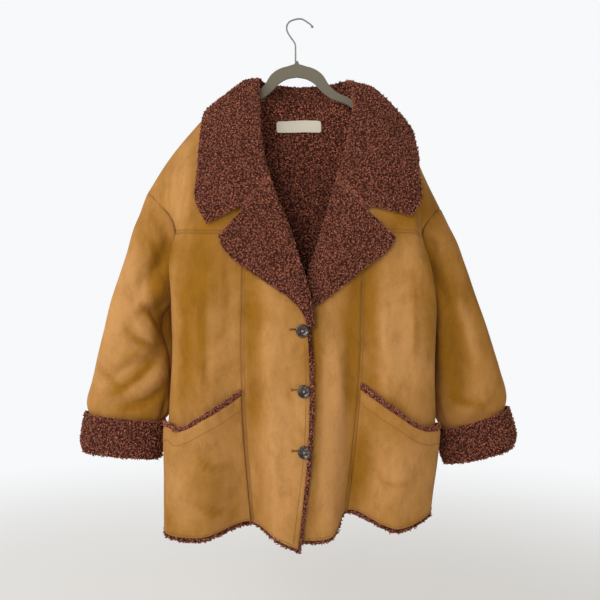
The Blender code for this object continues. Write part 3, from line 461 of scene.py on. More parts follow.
# How far the inner back of a sleeve stands out to the body, from the depth below the hook.
SLEEVE_TO_BODY = {
    "left": ((520, 570, 620, 670, 730, 800), (0, 15, 22, 14, 8, 8)),
    "right": ((560, 620, 700, 800), (0, 6, 8, 9)),
}
SLEEVE_CREASES = (
    (-3.6, 5, -292, -579, -272, -619, -248, -649), (-3.4, 5, -368, -749, -322, -719, -262, -663),
    (-3, 4.5, -352, -775, -292, -759, -256, -729), (2.6, 6, -300, -566, -284, -610, -262, -640),
    (2.6, 7, -352, -730, -312, -702, -266, -650), (-2.4, 4.5, -330, -640, -296, -640, -262, -622),
    (-2.4, 5, -286, -440, -272, -480, -262, -530), (-2.2, 5, -404, -700, -370, -716, -340, -700),
    (-2.8, 5, 262, -470, 276, -520, 300, -560), (-2.6, 5, 282, -640, 306, -690, 322, -760),
    (2.2, 6, 320, -560, 340, -610, 356, -680), (-2.4, 5, 300, -740, 340, -760, 390, -770),
    (-8, 13, -242, -420, -262, -470, -296, -512, -318, -540), (5.5, 12, -256, -520, -290, -556, -322, -572),
    (-6, 12, -244, -560, -270, -580, -300, -584, -330, -600),
    (-8.5, 14, -246, -612, -270, -655, -300, -684, -360, -706), (5, 14, -250, -690, -290, -722, -350, -738),
    (-4.5, 10, -262, -745, -310, -765, -356, -770, -396, -760), (-5, 6, -256, -752, -262, -780, -270, -800),
    (-2.5, 6, -270, -400, -258, -428, -250, -452), (-2.2, 5, -286, -372, -276, -396, -262, -420),
    (3.5, 16, -346, -470, -364, -560, -384, -650, -398, -730), (-7, 13, 258, -420, 270, -480, 290, -540, 310, -580),
    (-8, 17, 296, -560, 334, -650, 346, -730, 334, -790), (4.5, 12, 270, -600, 298, -680, 306, -760),
    (-5.5, 8, 270, -745, 284, -790, 296, -815), (-4, 10, 300, -790, 340, -800, 386, -776, 416, -740),
    (4, 15, 330, -470, 360, -560, 388, -650, 404, -720), (-2.4, 6, 262, -416, 274, -440, 284, -470),
)
# Painted light and shade, given as for creases: more than nothing paints the suede its lit colour, less than nothing
# its shaded colour.
PAINTED_LIGHT_STROKES = (
    (-0.9, 8, -318, -560, -292, -590, -262, -640), (0.6, 7, -338, -570, -312, -610, -270, -668),
    (-0.9, 9, -372, -752, -330, -724, -270, -672), (0.5, 8, -384, -726, -340, -700, -286, -650),
    (-0.8, 7, -352, -778, -300, -762, -258, -735), (-0.7, 8, -344, -610, -318, -640, -280, -652),
    (-0.9, 9, -258, -500, -276, -540, -272, -600), (-0.6, 7, -396, -690, -372, -716, -350, -740),
    (0.5, 7, -300, -480, -306, -540, -330, -590), (-0.7, 8, -292, -440, -276, -470, -264, -520),
    (-0.45, 6, -186, -500, -190, -620, -184, -740), (-0.3, 6, -150, -470, -140, -560, -148, -640),
    (0.15, 7, -172, -520, -172, -640, -166, -720), (-0.3, 8, -226, -540, -218, -660, -228, -760),
    (-0.8, 9, 262, -460, 280, -520, 304, -570), (-0.7, 10, 284, -630, 308, -690, 324, -760),
    (0.5, 9, 316, -540, 344, -610, 362, -680), (-0.6, 8, 336, -470, 352, -520, 364, -580),
    (-0.5, 8, 300, -745, 344, -766, 392, -772), (0.4, 8, 270, -560, 284, -620, 290, -690),
    (-0.5, 6, 232, -500, 240, -600, 238, -700), (0.4, 6, 180, -520, 176, -600, 186, -700),
    (-0.4, 7, -20, -700, -8, -800, -16, -900), (-0.4, 6, -208, -880, -160, -896, -118, -880),
    (-0.4, 6, -210, -960, -166, -984, -120, -976), (-0.4, 6, 150, -900, 196, -930, 240, -920),
    (-0.5, 46, -212, -440, -206, -600, -206, -800), (-0.6, 20, -92, -450, -88, -620, -84, -860),
    (0.35, 9, -246, -470, -242, -620, -246, -780), (0.55, 46, -30, -600, -34, -820, -40, -1080),
    (-0.12, 60, -200, -850, -170, -930, -150, -1040), (0.3, 22, -236, -880, -226, -960, -210, -1030),
    (-0.7, 18, -250, -430, -270, -480, -304, -540), (-0.6, 20, -256, -600, -284, -660, -350, -700),
    (-0.45, 24, -250, -690, -300, -780, -380, -790), (0.45, 26, -320, -420, -356, -560, -392, -740),
    (0.3, 18, -262, -700, -310, -728, -350, -730), (0.1, 26, -228, -270, -236, -340, -246, -420),
    (-0.7, 19, 122, -440, 112, -640, 104, -900), (0.9, 27, 68, -630, 74, -820, 66, -1020),
    (-0.5, 12, 36, -560, 40, -700, 34, -1040), (-0.6, 15, 150, -440, 150, -620, 158, -760),
    (0.5, 46, 206, -500, 206, -620, 214, -760), (0.3, 44, 206, -840, 214, -920, 216, -1010),
    (-0.6, 22, 140, -800, 128, -880, 112, -1000), (-0.6, 40, 196, -360, 222, -400, 250, -420),
    (-0.6, 44, 280, -450, 310, -600, 330, -780), (-0.3, 30, 360, -520, 396, -680, 410, -760),
    (-0.4, 16, 250, -520, 268, -600, 266, -700), (-0.5, 30, 244, -310, 262, -380, 276, -420),
)
# Painted light and shade on the back, at true x and z.
BACK_PAINTED_LIGHT = (
    (-0.5, 50, -170, -430, -150, -700, -150, -960), (0.5, 50, -70, -300, -60, -600, -50, -960),
    (-0.5, 40, 20, -400, 10, -700, 20, -960), (0.5, 50, 110, -300, 100, -640, 110, -960),
    (-0.5, 40, 210, -420, 216, -660, 220, -940), (-0.6, 30, -262, -500, -300, -620, -330, -760),
    (0.4, 30, -350, -480, -380, -640, -400, -760), (-0.6, 30, 270, -500, 310, -660, 340, -800),
    (0.4, 30, 350, -480, 380, -640, 410, -760),
)
BACK_CREASES = (
    (-5, 12, -214, -330, -216, -400, -232, -470, -246, -530),
    (-3.5, 16, -160, -420, -148, -560, -150, -720, -138, -880),
    (3.5, 17, -112, -440, -104, -600, -108, -760, -96, -940), (-4, 18, -40, -460, -34, -620, -44, -800, -30, -960),
    (3, 18, 20, -420, 28, -600, 18, -780, 30, -950), (-3.4, 15, 84, -450, 92, -610, 84, -770, 100, -930),
    (3.4, 15, 140, -440, 150, -590, 140, -750, 156, -900), (-4.4, 13, 236, -350, 230, -420, 246, -500, 262, -560),
    (-2.6, 9, 196, -520, 204, -640, 194, -760, 206, -860), (-2.2, 8, -196, -560, -204, -680, -196, -800),
    (-2, 10, -90, -230, -60, -290, -10, -310), (-2, 10, 110, -240, 74, -296, 30, -312),
    (-7, 14, -246, -440, -280, -500, -318, -545, -350, -560), (5, 13, -262, -540, -300, -580, -346, -598),
    (-7, 13, -262, -600, -300, -640, -352, -668, -384, -672), (-5, 10, -280, -730, -330, -752, -384, -742),
    (-7, 14, 262, -440, 296, -520, 330, -570), (4.6, 13, 280, -570, 316, -620, 356, -640),
    (-7, 14, 280, -630, 320, -690, 372, -714), (-5, 9, 296, -750, 340, -776, 396, -760),
)


def true_place(x, y, z):
    """The point at depth y that is seen at x, z."""
    reach = (y - SIGHT[1]) / (SEEN_AT_Y - SIGHT[1])
    return np.array((SIGHT[0] + (x - SIGHT[0]) * reach, y, SIGHT[2] + (z - SIGHT[2]) * reach))


def seen(points):
    """Where points are seen, as x and z."""
    points = np.asarray(points, float)
    reach = (points[..., 1] - SIGHT[1]) / (SEEN_AT_Y - SIGHT[1])
    return np.stack((
        SIGHT[0] + (points[..., 0] - SIGHT[0]) / reach,
        SIGHT[2] + (points[..., 2] - SIGHT[2]) / reach,
    ), axis=-1)


def unit(vectors):
    return vectors / np.maximum(np.linalg.norm(vectors, axis=-1, keepdims=True), 1e-9)


def finishes():
    """All finishes by name, made once."""
    return FINISHES or make_finishes()


def size(name, times=1.0):
    """A size from the panel, in millimetres."""
    return times * getattr(bpy.context.scene.coat_sizes, name) / MM


def linked(name, data):
    """A new object in the scene."""
    made = bpy.data.objects.new(name, data)
    bpy.context.scene.collection.objects.link(made)
    return made


def mesh_from(name, built, *materials):
    """The mesh of a bmesh, which is freed."""
    data = bpy.data.meshes.new(name)
    built.to_mesh(data)
    built.free()
    for material in materials:
        data.materials.append(material)
    return data


def worked_out(made, material, angle, turn=Matrix()):
    """The mesh of an object with its modifiers, or of a curve."""
    bpy.context.view_layer.update()
    data = bpy.data.meshes.new_from_object(made.evaluated_get(bpy.context.evaluated_depsgraph_get()))
    data.transform(turn)
    data.materials.clear()
    data.materials.append(material)
    data.shade_smooth()
    data.set_sharp_from_angle(angle=math.radians(angle))
    return data


def smooth(values, at):
    """A smooth curve through values, read at a place counted in values. Its slopes respect uneven spacing."""
    last = len(values) - 1
    i = int(min(max(math.floor(at), 0), last - 1))
    f = at - i
    b, c = values[i], values[i + 1]
    a = values[i - 1] if i > 0 else 2 * b - c
    d = values[i + 2] if i + 2 <= last else 2 * c - b
    before, here, after = (max(float(np.linalg.norm(step)), 1e-6) for step in (b - a, c - b, d - c))
    lean_b = ((b - a) * here**2 / before + (c - b) * before) / (before + here)
    lean_c = ((c - b) * after + (d - c) * here**2 / after) / (here + after)
    rise = f * f * (3 - 2 * f)
    return b + (c - b) * rise + (f - 1) ** 2 * f * lean_b + (f - 1) * f * f * lean_c


class Surface:
    """Cloth that runs smoothly through ribs: stations across, levels up. The first rib may turn at the underarm."""

    def __init__(self, ribs, sense, turns=True):
        self.ribs = np.array(ribs, float)
        self.sense = sense
        self.turns = turns

    def on_ribs(self, level):
        places = [smooth(rib, level) for rib in self.ribs]
        if self.turns and level <= UNDERARM:
            places[0] = smooth(self.ribs[0][: UNDERARM + 1], level)
        elif self.turns:
            places[0] = smooth(self.ribs[0][UNDERARM:], level - UNDERARM)
        return places

    def point(self, station, level):
        return smooth(self.on_ribs(level), station)

    def grid(self, stations, levels):
        rows = [self.on_ribs(level) for level in levels]
        return np.array([[smooth(row, station) for row in rows] for station in stations])

    def normal(self, station, level):
        across = self.point(station + 0.02, level) - self.point(station - 0.02, level)
        up = self.point(station, level + 0.02) - self.point(station, level - 0.02)
        return self.sense * unit(np.cross(across, up))

    def locate(self, x, z, station, level, look=seen):
        """The station and level whose place looks to be at x, z, found from a first guess."""
        for _ in range(10):
            here = look(self.point(station, level))
            slope = np.array((
                (look(self.point(station + 0.01, level)) - here) / 0.01,
                (look(self.point(station, level + 0.01)) - here) / 0.01,
            )).T
            step = np.linalg.solve(slope, np.array((x, z)) - here)
            station, level = np.array((station, level)) + np.clip(step, -0.5, 0.5)
        return station, level


def turned_at_shoulder(ribs, sense):
    """A surface with one more level just below the shoulder seam, where the cloth turns over the hanger."""
    turns = (rib[-1] + 0.3 * (rib[-2] - rib[-1]) + np.array((0, 0, lift)) for rib, lift in zip(ribs, SHOULDER_LIFTS))
    return Surface([[*rib[:-1], turn, rib[-1]] for rib, turn in zip(ribs, turns)], sense)


def front_surface(ribs, sense):
    made = [[true_place(*place) for place in ribs[station]] for station in STATIONS]
    return turned_at_shoulder(made, sense)


def back_side_surface(side, front):
    """Half of the back: its side and its shoulder seam are those of the front."""
    ribs = front.ribs
    armhole = [np.array(place, float) for place in BACK_ARMHOLE[side]]
    made = [[*ribs[0][: UNDERARM + 1], *armhole, ribs[0][-1]]]
    for index, name in enumerate(BACK_SPREAD, start=1):
        depths = BACK_DEPTHS[name]
        rib = []
        for level, z in enumerate(BACK_LEVELS_Z):
            fold_x = ribs[FOLD][level][0]
            x = BACK_CENTRE_X + BACK_SPREAD[name] * (fold_x - BACK_CENTRE_X)
            if level == 0:
                z = BACK_HEM["centre"] + BACK_SPREAD[name] * (BACK_HEM[side] - BACK_HEM["centre"])
            rib.append(np.array((x, depths[level], z)))
        shoulder = ribs[index][-1]
        for level, share in ((6, 0.4), (7, 0.78)):
            place = rib[5] + share * (shoulder - rib[5])
            place[1] = depths[level]
            rib.append(place)
        made.append([*rib, shoulder])
    return turned_at_shoulder(made, -front.sense)


def back_middle_surface(left, right):
    """The back between the necks' ends: its outer ribs are the innermost ones of the two sides."""
    a, b = left.ribs[-1], right.ribs[-1]
    ribs = [a]
    for share, neck in zip((0.25, 0.5, 0.75), BACK_NECK):
        rib = []
        for level in range(SHOULDER):
            place = a[level] + share * (b[level] - a[level])
            if level < len(BACK_NECK_DEPTHS):
                place[1] += (BACK_NECK_DEPTHS[level] - place[1]) * math.sin(math.pi * share)
            rib.append(place)
        rib[0][2] = BACK_HEM["centre"]
        rib[-1] = rib[-2] + 0.8 * (np.array(neck) - rib[-2]) + np.array((0, 2, 0))
        ribs.append([*rib, np.array(neck, float)])
    return Surface([*ribs, b], -1, turns=False)


def spaced(start, end, count):
    return [start + (end - start) * i / (count - 1) for i in range(count)]


def run_of(points):
    return np.concatenate(([0.0], np.cumsum(np.linalg.norm(np.diff(points, axis=0), axis=1))))


def rows_between(line, start, end, spacing, trims=(0.0, 0.0)):
    """Places along a line that lie evenly, closer at its ends, and how far each is from the nearer end."""
    fine = np.linspace(start, end, 160)
    run = run_of(np.array([line(at) for at in fine]))
    count = max(2, round(run[-1] / spacing) - 1)
    low, high = trims[0], run[-1] - trims[1]
    wanted = np.concatenate((
        low + np.array(EDGE_ROWS), np.linspace(low + EDGE_TO_BODY, high - EDGE_TO_BODY, count),
        high - np.array(EDGE_ROWS[::-1]),
    ))
    return np.interp(wanted, run, fine), np.minimum(wanted - low, high - wanted)


def normals_of(grid, ring=False):
    """Unit normals of a grid of points, across by up."""
    if ring:
        across = np.roll(grid, -1, axis=0) - np.roll(grid, 1, axis=0)
    else:
        across = np.gradient(grid, axis=0)
    return unit(np.cross(across, np.gradient(grid, axis=1)))


def relief(places, creases):
    """How far the cloth stands out at each place, from ridges and valleys that fade out at their ends."""
    total = np.zeros(places.shape[:-1])
    for height, width, *line in creases:
        line = np.array(line, float).reshape(-1, 2)
        line = np.array([smooth(line, at) for at in np.linspace(0, len(line) - 1, 4 * len(line) - 3)])
        run = run_of(line)
        nearest, along = np.full(total.shape, 1e9), np.zeros(total.shape)
        for k, step in enumerate(np.diff(line, axis=0)):
            f = np.clip(((places - line[k]) @ step) / step.dot(step), 0, 1)
            away = np.linalg.norm(places - line[k] - f[..., None] * step, axis=-1)
            nearer = away < nearest
            nearest = np.where(nearer, away, nearest)
            along = np.where(nearer, (run[k] + f * (run[k + 1] - run[k])) / run[-1], along)
        total += height * np.sin(np.pi * (0.02 + 0.96 * along)) ** 0.7 * np.exp(-((nearest / width) ** 2))
    return total


def unevenness(points):
    """Soft low waves that no cloth is without."""
    x, y, z = points[..., 0], points[..., 1], points[..., 2]
    return (
        0.45 * np.sin(x / 31 + 1.3 * np.sin(z / 83)) * np.sin(z / 57 + y / 40)
        + 0.3 * np.sin(z / 19 + x / 47 + 2.1 * np.sin(x / 71)) + 0.25 * np.sin(x / 13 - z / 37)
    )


def on_both_sides(grid, normals, front, back):
    """Relief by the front's lines where the cloth faces -Y, and by the back's where it faces +Y."""
    facing = np.clip(0.5 - SIDE_BLEND * normals[..., 1], 0, 1)
    return facing * relief(seen(grid), front) + (1 - facing) * relief(grid[..., [0, 2]], back)


def hung(grid, normals, front, back):
    """How far the cloth stands out by its creases, which fade where it is seen edge on."""
    square = np.clip(EDGE_ON * np.abs(normals[..., 1]), 0, 1) ** 1.5
    return CREASE_STRENGTH * square * on_both_sides(grid, normals, front, back) + unevenness(grid)


def new_object(name, points, faces, materials, uvs, which=None, painted_light=None):
    """A mesh object from points in millimetres, one UV place a point, the material of each face and the share of
    painted light.
    """
    data = bpy.data.meshes.new(name)
    data.from_pydata((points * MM).tolist(), [], faces.tolist() if hasattr(faces, "tolist") else faces)
    for material in materials:
        data.materials.append(material)
    corners = np.empty(len(data.loops), int)
    data.loops.foreach_get("vertex_index", corners)
    data.uv_layers.new(name="UVMap").data.foreach_set("uv", uvs[corners].ravel())
    # A second UV map carries the share of painted light and shade on the suede.
    if painted_light is not None:
        light_uv = np.stack((painted_light, painted_light), axis=1)
        data.uv_layers.new(name="Nap").data.foreach_set("uv", light_uv[corners].ravel())
    if which is not None:
        data.polygons.foreach_set("material_index", which)
    data.shade_smooth()
    made = linked(name, data)
    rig.ride(made, "root")
    return made


def painted_light_of(grid, normals):
    """The share of painted light at each point, from 0 (painted shade, the suede's shaded colour) to 1 (painted light,
    its lit colour).
    """
    return np.clip(0.5 + 0.5 * on_both_sides(grid, normals, PAINTED_LIGHT_STROKES, BACK_PAINTED_LIGHT), 0, 1).ravel()


def grid_faces(across, up, first=0, ring=False):
    i, j = np.meshgrid(np.arange(across if ring else across - 1), np.arange(up - 1), indexing="ij")
    k = (i + 1) % across
    return (first + np.stack((i * up + j, k * up + j, k * up + j + 1, i * up + j + 1), axis=-1)).reshape(-1, 4)


def travelled(grid, axis):
    """How far along the cloth each point lies from the grid's first one across (axis 0) or up (axis 1)."""
    steps = np.linalg.norm(np.diff(grid, axis=axis), axis=2)
    return np.cumsum(np.insert(steps, 0, 0.0, axis=axis), axis=axis)


def cloth_uv(grid):
    """Flat cloth places in metres."""
    return np.stack((travelled(grid, 0), travelled(grid, 1)), axis=-1).reshape(-1, 2) * MM


def area_of(grid, ring=False):
    faces = grid_faces(*grid.shape[:2], ring=ring)
    a, b, c, d = (grid.reshape(-1, 3)[faces[:, k]] for k in range(4))
    return np.linalg.norm(np.cross(c - a, d - b), axis=1) / 2


def cloth_shell(node, outer, inner, materials, held, rests_on, ring=False, rim=1, painted_light=None):
    """A thin closed shell of cloth that stands for a CAD node, and what a sheet declaration needs: its flat cut."""
    across, up = outer.shape[:2]
    count = across * up
    out = grid_faces(across, up, ring=ring)
    inn = grid_faces(across, up, count, ring)[:, ::-1]
    columns = np.arange(across if ring else across - 1)
    follow = (columns + 1) % across
    rims = [
        np.stack((follow * up, columns * up, count + columns * up, count + follow * up), axis=1),
        np.stack((columns * up, follow * up, count + follow * up, count + columns * up), axis=1) + up - 1,
    ]
    if not ring:
        rows = np.arange(up - 1)
        rims.append(np.stack((rows, rows + 1, count + rows + 1, count + rows), axis=1))
        last = (across - 1) * up
        rims.append(np.stack((rows + 1, rows, count + rows, count + rows + 1), axis=1) + last)
    faces = np.concatenate((out, inn, *rims))
    points = np.concatenate((outer.reshape(-1, 3), inner.reshape(-1, 3)))
    a, b, c = (points[faces[:, k]] for k in range(3))
    if np.einsum("ij,ij->i", a, np.cross(b, c)).sum() < 0:
        faces = faces[:, ::-1]
    which = np.repeat((0, 1, rim), (len(out), len(inn), sum(map(len, rims))))
    uvs = np.concatenate((cloth_uv(outer), cloth_uv(inner)))
    # The share of painted light and shade, the same on both sides of the shell.
    if painted_light is not None:
        painted_light = np.concatenate((painted_light, painted_light))
    made = new_object(node, points, faces, materials, uvs, which, painted_light)
    made.data.set_sharp_from_angle(angle=math.radians(SHARP["cloth"]))
    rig.replaces(made, node)
    wide, long = uvs[: count].max(axis=0)
    flat = area_of(outer, ring).sum() * MM * MM
    return made, dict(flat=(float(wide), float(long)), held=held, rests_on=rests_on,
                      area=float(min(flat, wide * long)) if flat >= 0.3 * wide * long else None)


def scattered(grid, normals, spacing, seed, ring=False, keep=None):
    """Even but unruled places on a grid, about spacing apart: points and normals."""
    rng = np.random.default_rng(seed)
    faces = grid_faces(*grid.shape[:2], ring=ring)
    share = area_of(grid, ring) / spacing**2
    if keep is not None:
        share = share * keep(grid.reshape(-1, 3)[faces].mean(axis=1))
    ends = np.floor(np.cumsum(share) + rng.random()).astype(int)
    counts = np.diff(np.concatenate(([0], ends)))
    chosen = np.repeat(np.arange(len(faces)), counts)
    count = np.arange(len(chosen))[:, None]
    f, g = ((count * step + 0.12 * rng.random(count.shape)) % 1 for step in EVEN_STEPS)
    corners = grid.reshape(-1, 3)[faces[chosen]]
    ways = normals.reshape(-1, 3)[faces[chosen]]
    mix = lambda c: (c[:, 0] * (1 - f) + c[:, 1] * f) * (1 - g) + (c[:, 3] * (1 - f) + c[:, 2] * f) * g
    return mix(corners), unit(mix(ways))


def curls(name, roots, ways, length, radius, seed, material, bend=(0.25, 2.3), spread=0.35):
    """A pile of small curled locks: each is a tapered three-sided strand that bends over to some side."""
    rng = np.random.default_rng(seed)
    count = len(roots)
    ways = unit(ways + spread * rng.normal(size=(count, 3)))
    side = unit(np.cross(ways, rng.normal(size=(count, 3))))
    long = length * rng.uniform(0.72, 1.2, (count, 1))
    thick = radius * rng.uniform(0.8, 1.25, (count, 1))
    turn = rng.uniform(0.75, 1.15, (count, 1))
    place = roots - 0.4 * thick * ways
    rings = []
    angles = np.linspace(*bend, len(CURL_TAPER))
    for k, (taper, angle) in enumerate(zip(CURL_TAPER, angles)):
        heading = ways * np.cos(angle * turn) + side * np.sin(angle * turn)
        if k:
            place = place + long / (len(CURL_TAPER) - 1) * heading
        off = unit(np.cross(heading, np.cross(ways, side)))
        flank = np.cross(heading, off)
        if k == len(CURL_TAPER) - 1:
            rings.append(place)
            break
        for third in range(3):
            c, s = math.cos(THIRD_TURN * third), math.sin(THIRD_TURN * third)
            rings.append(place + taper * thick * (c * off + s * flank))
    points = np.stack(rings, axis=1)
    each = points.shape[1]
    shade = rng.random(count)
    ups = np.repeat(np.arange(len(CURL_TAPER) - 1) / (len(CURL_TAPER) - 1), 3)
    uvs = np.stack(np.broadcast_arrays(shade[:, None], np.append(ups, 1.0)[None, :]), axis=-1)
    faces = []
    for ring in range(len(CURL_TAPER) - 2):
        for third in range(3):
            a, b = 3 * ring + third, 3 * ring + (third + 1) % 3
            faces += [(a, b, b + 3), (a, b + 3, a + 3)]
    base = 3 * (len(CURL_TAPER) - 2)
    faces += [(base + third, base + (third + 1) % 3, each - 1) for third in range(3)]
    all_faces = (np.array(faces)[None] + each * np.arange(count)[:, None, None]).reshape(-1, 3)
    made = new_object(name, points.reshape(-1, 3), all_faces, [material], uvs.reshape(-1, 2))
    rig.slot(made, "sherpa")
    return made


def strands(name, starts, ends, ways, radius, material, rise=0.35):
    """Stitches: each a short thread that goes in at both ends and stands out a little between."""
    starts, ends, ways = (np.asarray(part, float) for part in (starts, ends, ways))
    along = unit(ends - starts)
    side = unit(np.cross(along, ways))
    lift = np.cross(side, along)
    rings = [starts - radius * lift]
    for share, height in ((0.22, rise), (0.78, rise)):
        middle = starts + share * (ends - starts) + height * lift
        rings += [middle + radius * way for way in (lift, side, -lift, -side)]
    rings.append(ends - radius * lift)
    points = np.stack(rings, axis=1)
    faces = []
    for k in range(4):
        n = (k + 1) % 4
        faces += [(0, 1 + n, 1 + k), (1 + k, 1 + n, 5 + n), (1 + k, 5 + n, 5 + k), (5 + k, 5 + n, 9)]
    all_faces = (np.array(faces)[None] + 10 * np.arange(len(starts))[:, None, None]).reshape(-1, 3)
    uvs = np.tile(np.linspace(0, 1, 10)[:, None], (len(starts), 2))
    return new_object(name, points.reshape(-1, 3), all_faces, [material], uvs)


def stitched(line, ways, pitch, length):
    """The starts, ends and outward ways of a row of stitches along a line."""
    run = run_of(line)
    begin = np.arange(pitch / 2, run[-1] - length, pitch)
    at = lambda places, what: np.stack([np.interp(places, run, what[:, k]) for k in range(3)], axis=1)
    return at(begin, line), at(begin + length, line), unit(at(begin + length / 2, ways))


def armhole_loop(front, back, levels):
    """The armhole's points from the shoulder down the front and up the back."""
    down = [front.point(0, level) for level in (SHOULDER, *levels[::-1], UNDERARM)]
    return [*down, *(back.point(0, level) for level in levels)]


def ring_points(row, turns):
    """Points round a sleeve, from its outer side over the front to its inner side and back."""
    outer_x, outer_z, inner_x, inner_z, front_y, back_y = row
    middle_y = (front_y + back_y) / 2
    outer, inner = true_place(outer_x, middle_y, outer_z), true_place(inner_x, middle_y, inner_z)
    middle, half = (outer + inner) / 2, (outer - inner) / 2
    deep = np.array((0, (back_y - front_y) / 2, 0))
    made = []
    for turn in turns:
        c, s = math.cos(2 * math.pi * turn), math.sin(2 * math.pi * turn)
        along = math.copysign(abs(c) ** (2 / SLEEVE_SQUARENESS), c)
        out = math.copysign(abs(s) ** (2 / SLEEVE_SQUARENESS), s)
        made.append(middle + along * half - out * deep)
    return made


def turns_of(loop):
    """How far round each point of an armhole lies, with its underarm at one half."""
    steps = np.linalg.norm(np.diff([*loop, loop[0]], axis=0), axis=1)
    low = int(np.argmin([point[2] for point in loop]))
    down, back = np.cumsum(steps[:low]), np.cumsum(steps[low:])
    return [0.0, *(0.5 * down / down[-1]), *(0.5 + 0.5 * back[:-1] / back[-1])]


def rings_grid(rings, rows):
    """Rings of points joined by smooth lines, with closer rows at both ends."""
    line = lambda at: smooth(rings[:, len(rings[0]) // 4], at)
    steps, edge = rows_between(line, 0, len(rings) - 1, rows)
    return np.array([[smooth(rings[:, k], step) for step in steps] for k in range(rings.shape[1])]), edge


def roll_section(neck, roll, along, middle, edge, radius):
    """One cut through a fold: points up the stand, over the roll and down the fall."""
    thin = radius / ROLL_RADIUS
    ways = (neck - roll, middle - roll)
    top = -unit(sum(unit(way - along * way.dot(along)) for way in ways))
    over = unit(np.cross(along, top))
    over = over if over.dot(edge - neck) > 0 else -over
    centre = roll - radius * top
    turn = [centre + radius * (math.sin(a) * top - math.cos(a) * over) for a in np.radians((0, 45, 90, 135, 180))]
    drop = [(turn[-1] + middle) / 2, *(middle + share * (edge - middle) for share in (0, 0.35, 0.7, 1))]
    bulged = [
        p + FALL_BULGE * thin * math.sin(math.pi * f) * over for p, f in zip(drop, (0.25, 0.5, 0.67, 0.85, 1.0))
    ]
    return [neck, *turn, *bulged]


def tree_of(grids):
    """What lies under a place: the coat's outer sides, each a grid and whether its normals point the other way."""
    corners, quads = [], []
    for grid, turned in grids:
        faces = grid_faces(*grid.shape[:2], first=len(corners))
        corners.extend(grid.reshape(-1, 3))
        quads.extend((faces[:, ::-1] if turned else faces).tolist())
    return BVHTree.FromPolygons(corners, quads)


def clear_of(coat, grid, least):
    """The grid with its fall moved out until it is at least that far off the coat."""
    moved = grid.copy()
    for i, j in np.ndindex(grid.shape[:2]):
        if j < FIRST_OF_FALL:
            continue
        under, normal = coat.find_nearest(Vector(grid[i, j]))[:2]
        short = least[i] - np.dot(grid[i, j] - np.array(under), np.array(normal))
        moved[i, j] += max(short, 0.0) * np.array(normal)
    return moved


def level_seen_at(surface, station, z):
    low, high = 0.0, float(SHOULDER)
    for _ in range(30):
        middle = (low + high) / 2
        low, high = (middle, high) if seen(surface.point(station, middle))[1] < z else (low, middle)
    return (low + high) / 2


def neck_start(surface, level):
    """Where a turned-back piece starts, clear of the front's inner edge."""
    edge = surface.point(FRONT_EDGE, level)
    seam = edge + 2 * GAP * unit(edge - surface.point(FRONT_EDGE - 0.1, level))
    return seam - STAND_CLOTH * surface.normal(FRONT_EDGE, level)


def on_panel(surface, x, z, lift, guess):
    station, level = surface.locate(x, z, *guess)
    return surface.point(station, level) + lift * surface.normal(station, level)


def lapel_rows(side, surface):
    rows = []
    for roll_x, roll_z, edge_x, edge_z in LAPEL_ROWS[side]:
        radius = min(ROLL_RADIUS, NARROWEST_ROLL + ROLL_GROWTH * math.hypot(roll_x - edge_x, roll_z - edge_z))
        level = level_seen_at(surface, FRONT_EDGE, roll_z)
        neck = neck_start(surface, level)
        lift = COLLAR_LIFT * radius / ROLL_RADIUS
        edge = on_panel(surface, edge_x, edge_z, lift, (4.5, level))
        middle = on_panel(surface, (roll_x + edge_x) / 2, (roll_z + edge_z) / 2, lift, (4.5, level))
        rows.append((neck, true_place(roll_x, neck[1] - radius, roll_z), middle, edge, radius))
    return rows


def collar_rows(left, right, middle_back, lapels):
    """Rows from the left lapel round the neck to the right one. The end rows share the lapels' folds."""
    fronts = []
    for surface, side, lapel in ((left, "left", lapels[0]), (right, "right", lapels[1])):
        tip = on_panel(surface, *COLLAR_TIP[side], COLLAR_LIFT, (2.0, 6.0))
        part = [(*lapel[-1][:3], tip, ROLL_RADIUS)]
        for roll_x, roll_y, roll_z, mid_x, mid_z, edge_x, edge_z in COLLAR_FRONT_ROWS[side]:
            level = level_seen_at(surface, FRONT_EDGE, roll_z)
            near = min(level, 8.0)
            part.append((
                neck_start(surface, min(level, 8.7)),
                true_place(roll_x, roll_y, roll_z),
                on_panel(surface, mid_x, mid_z, COLLAR_LIFT, (3.5, near)),
                on_panel(surface, edge_x, edge_z, COLLAR_LIFT, (2.0, near)),
                ROLL_RADIUS,
            ))
        fronts.append(part)
    around = []
    shoulders = {0: left, len(COLLAR_BACK_ROWS) - 1: right}
    for k, row in enumerate(COLLAR_BACK_ROWS):
        station = 4 * k / (len(COLLAR_BACK_ROWS) - 1)
        top = middle_back.point(station, SHOULDER)
        normal = middle_back.normal(station, SHOULDER)
        away = unit(top - middle_back.point(station, SHOULDER - 0.1))
        if k in shoulders:
            normal = unit(normal + shoulders[k].normal(FRONT_EDGE, SHOULDER))
            away = unit(top - shoulders[k].point(FRONT_EDGE - 0.1, SHOULDER))
        places = (true_place(*row[i : i + 3]) for i in (0, 3, 6))
        around.append((top + 2 * GAP * away - STAND_CLOTH * normal, *places, ROLL_RADIUS))
    return [*fronts[0], *around, *fronts[1][::-1]]


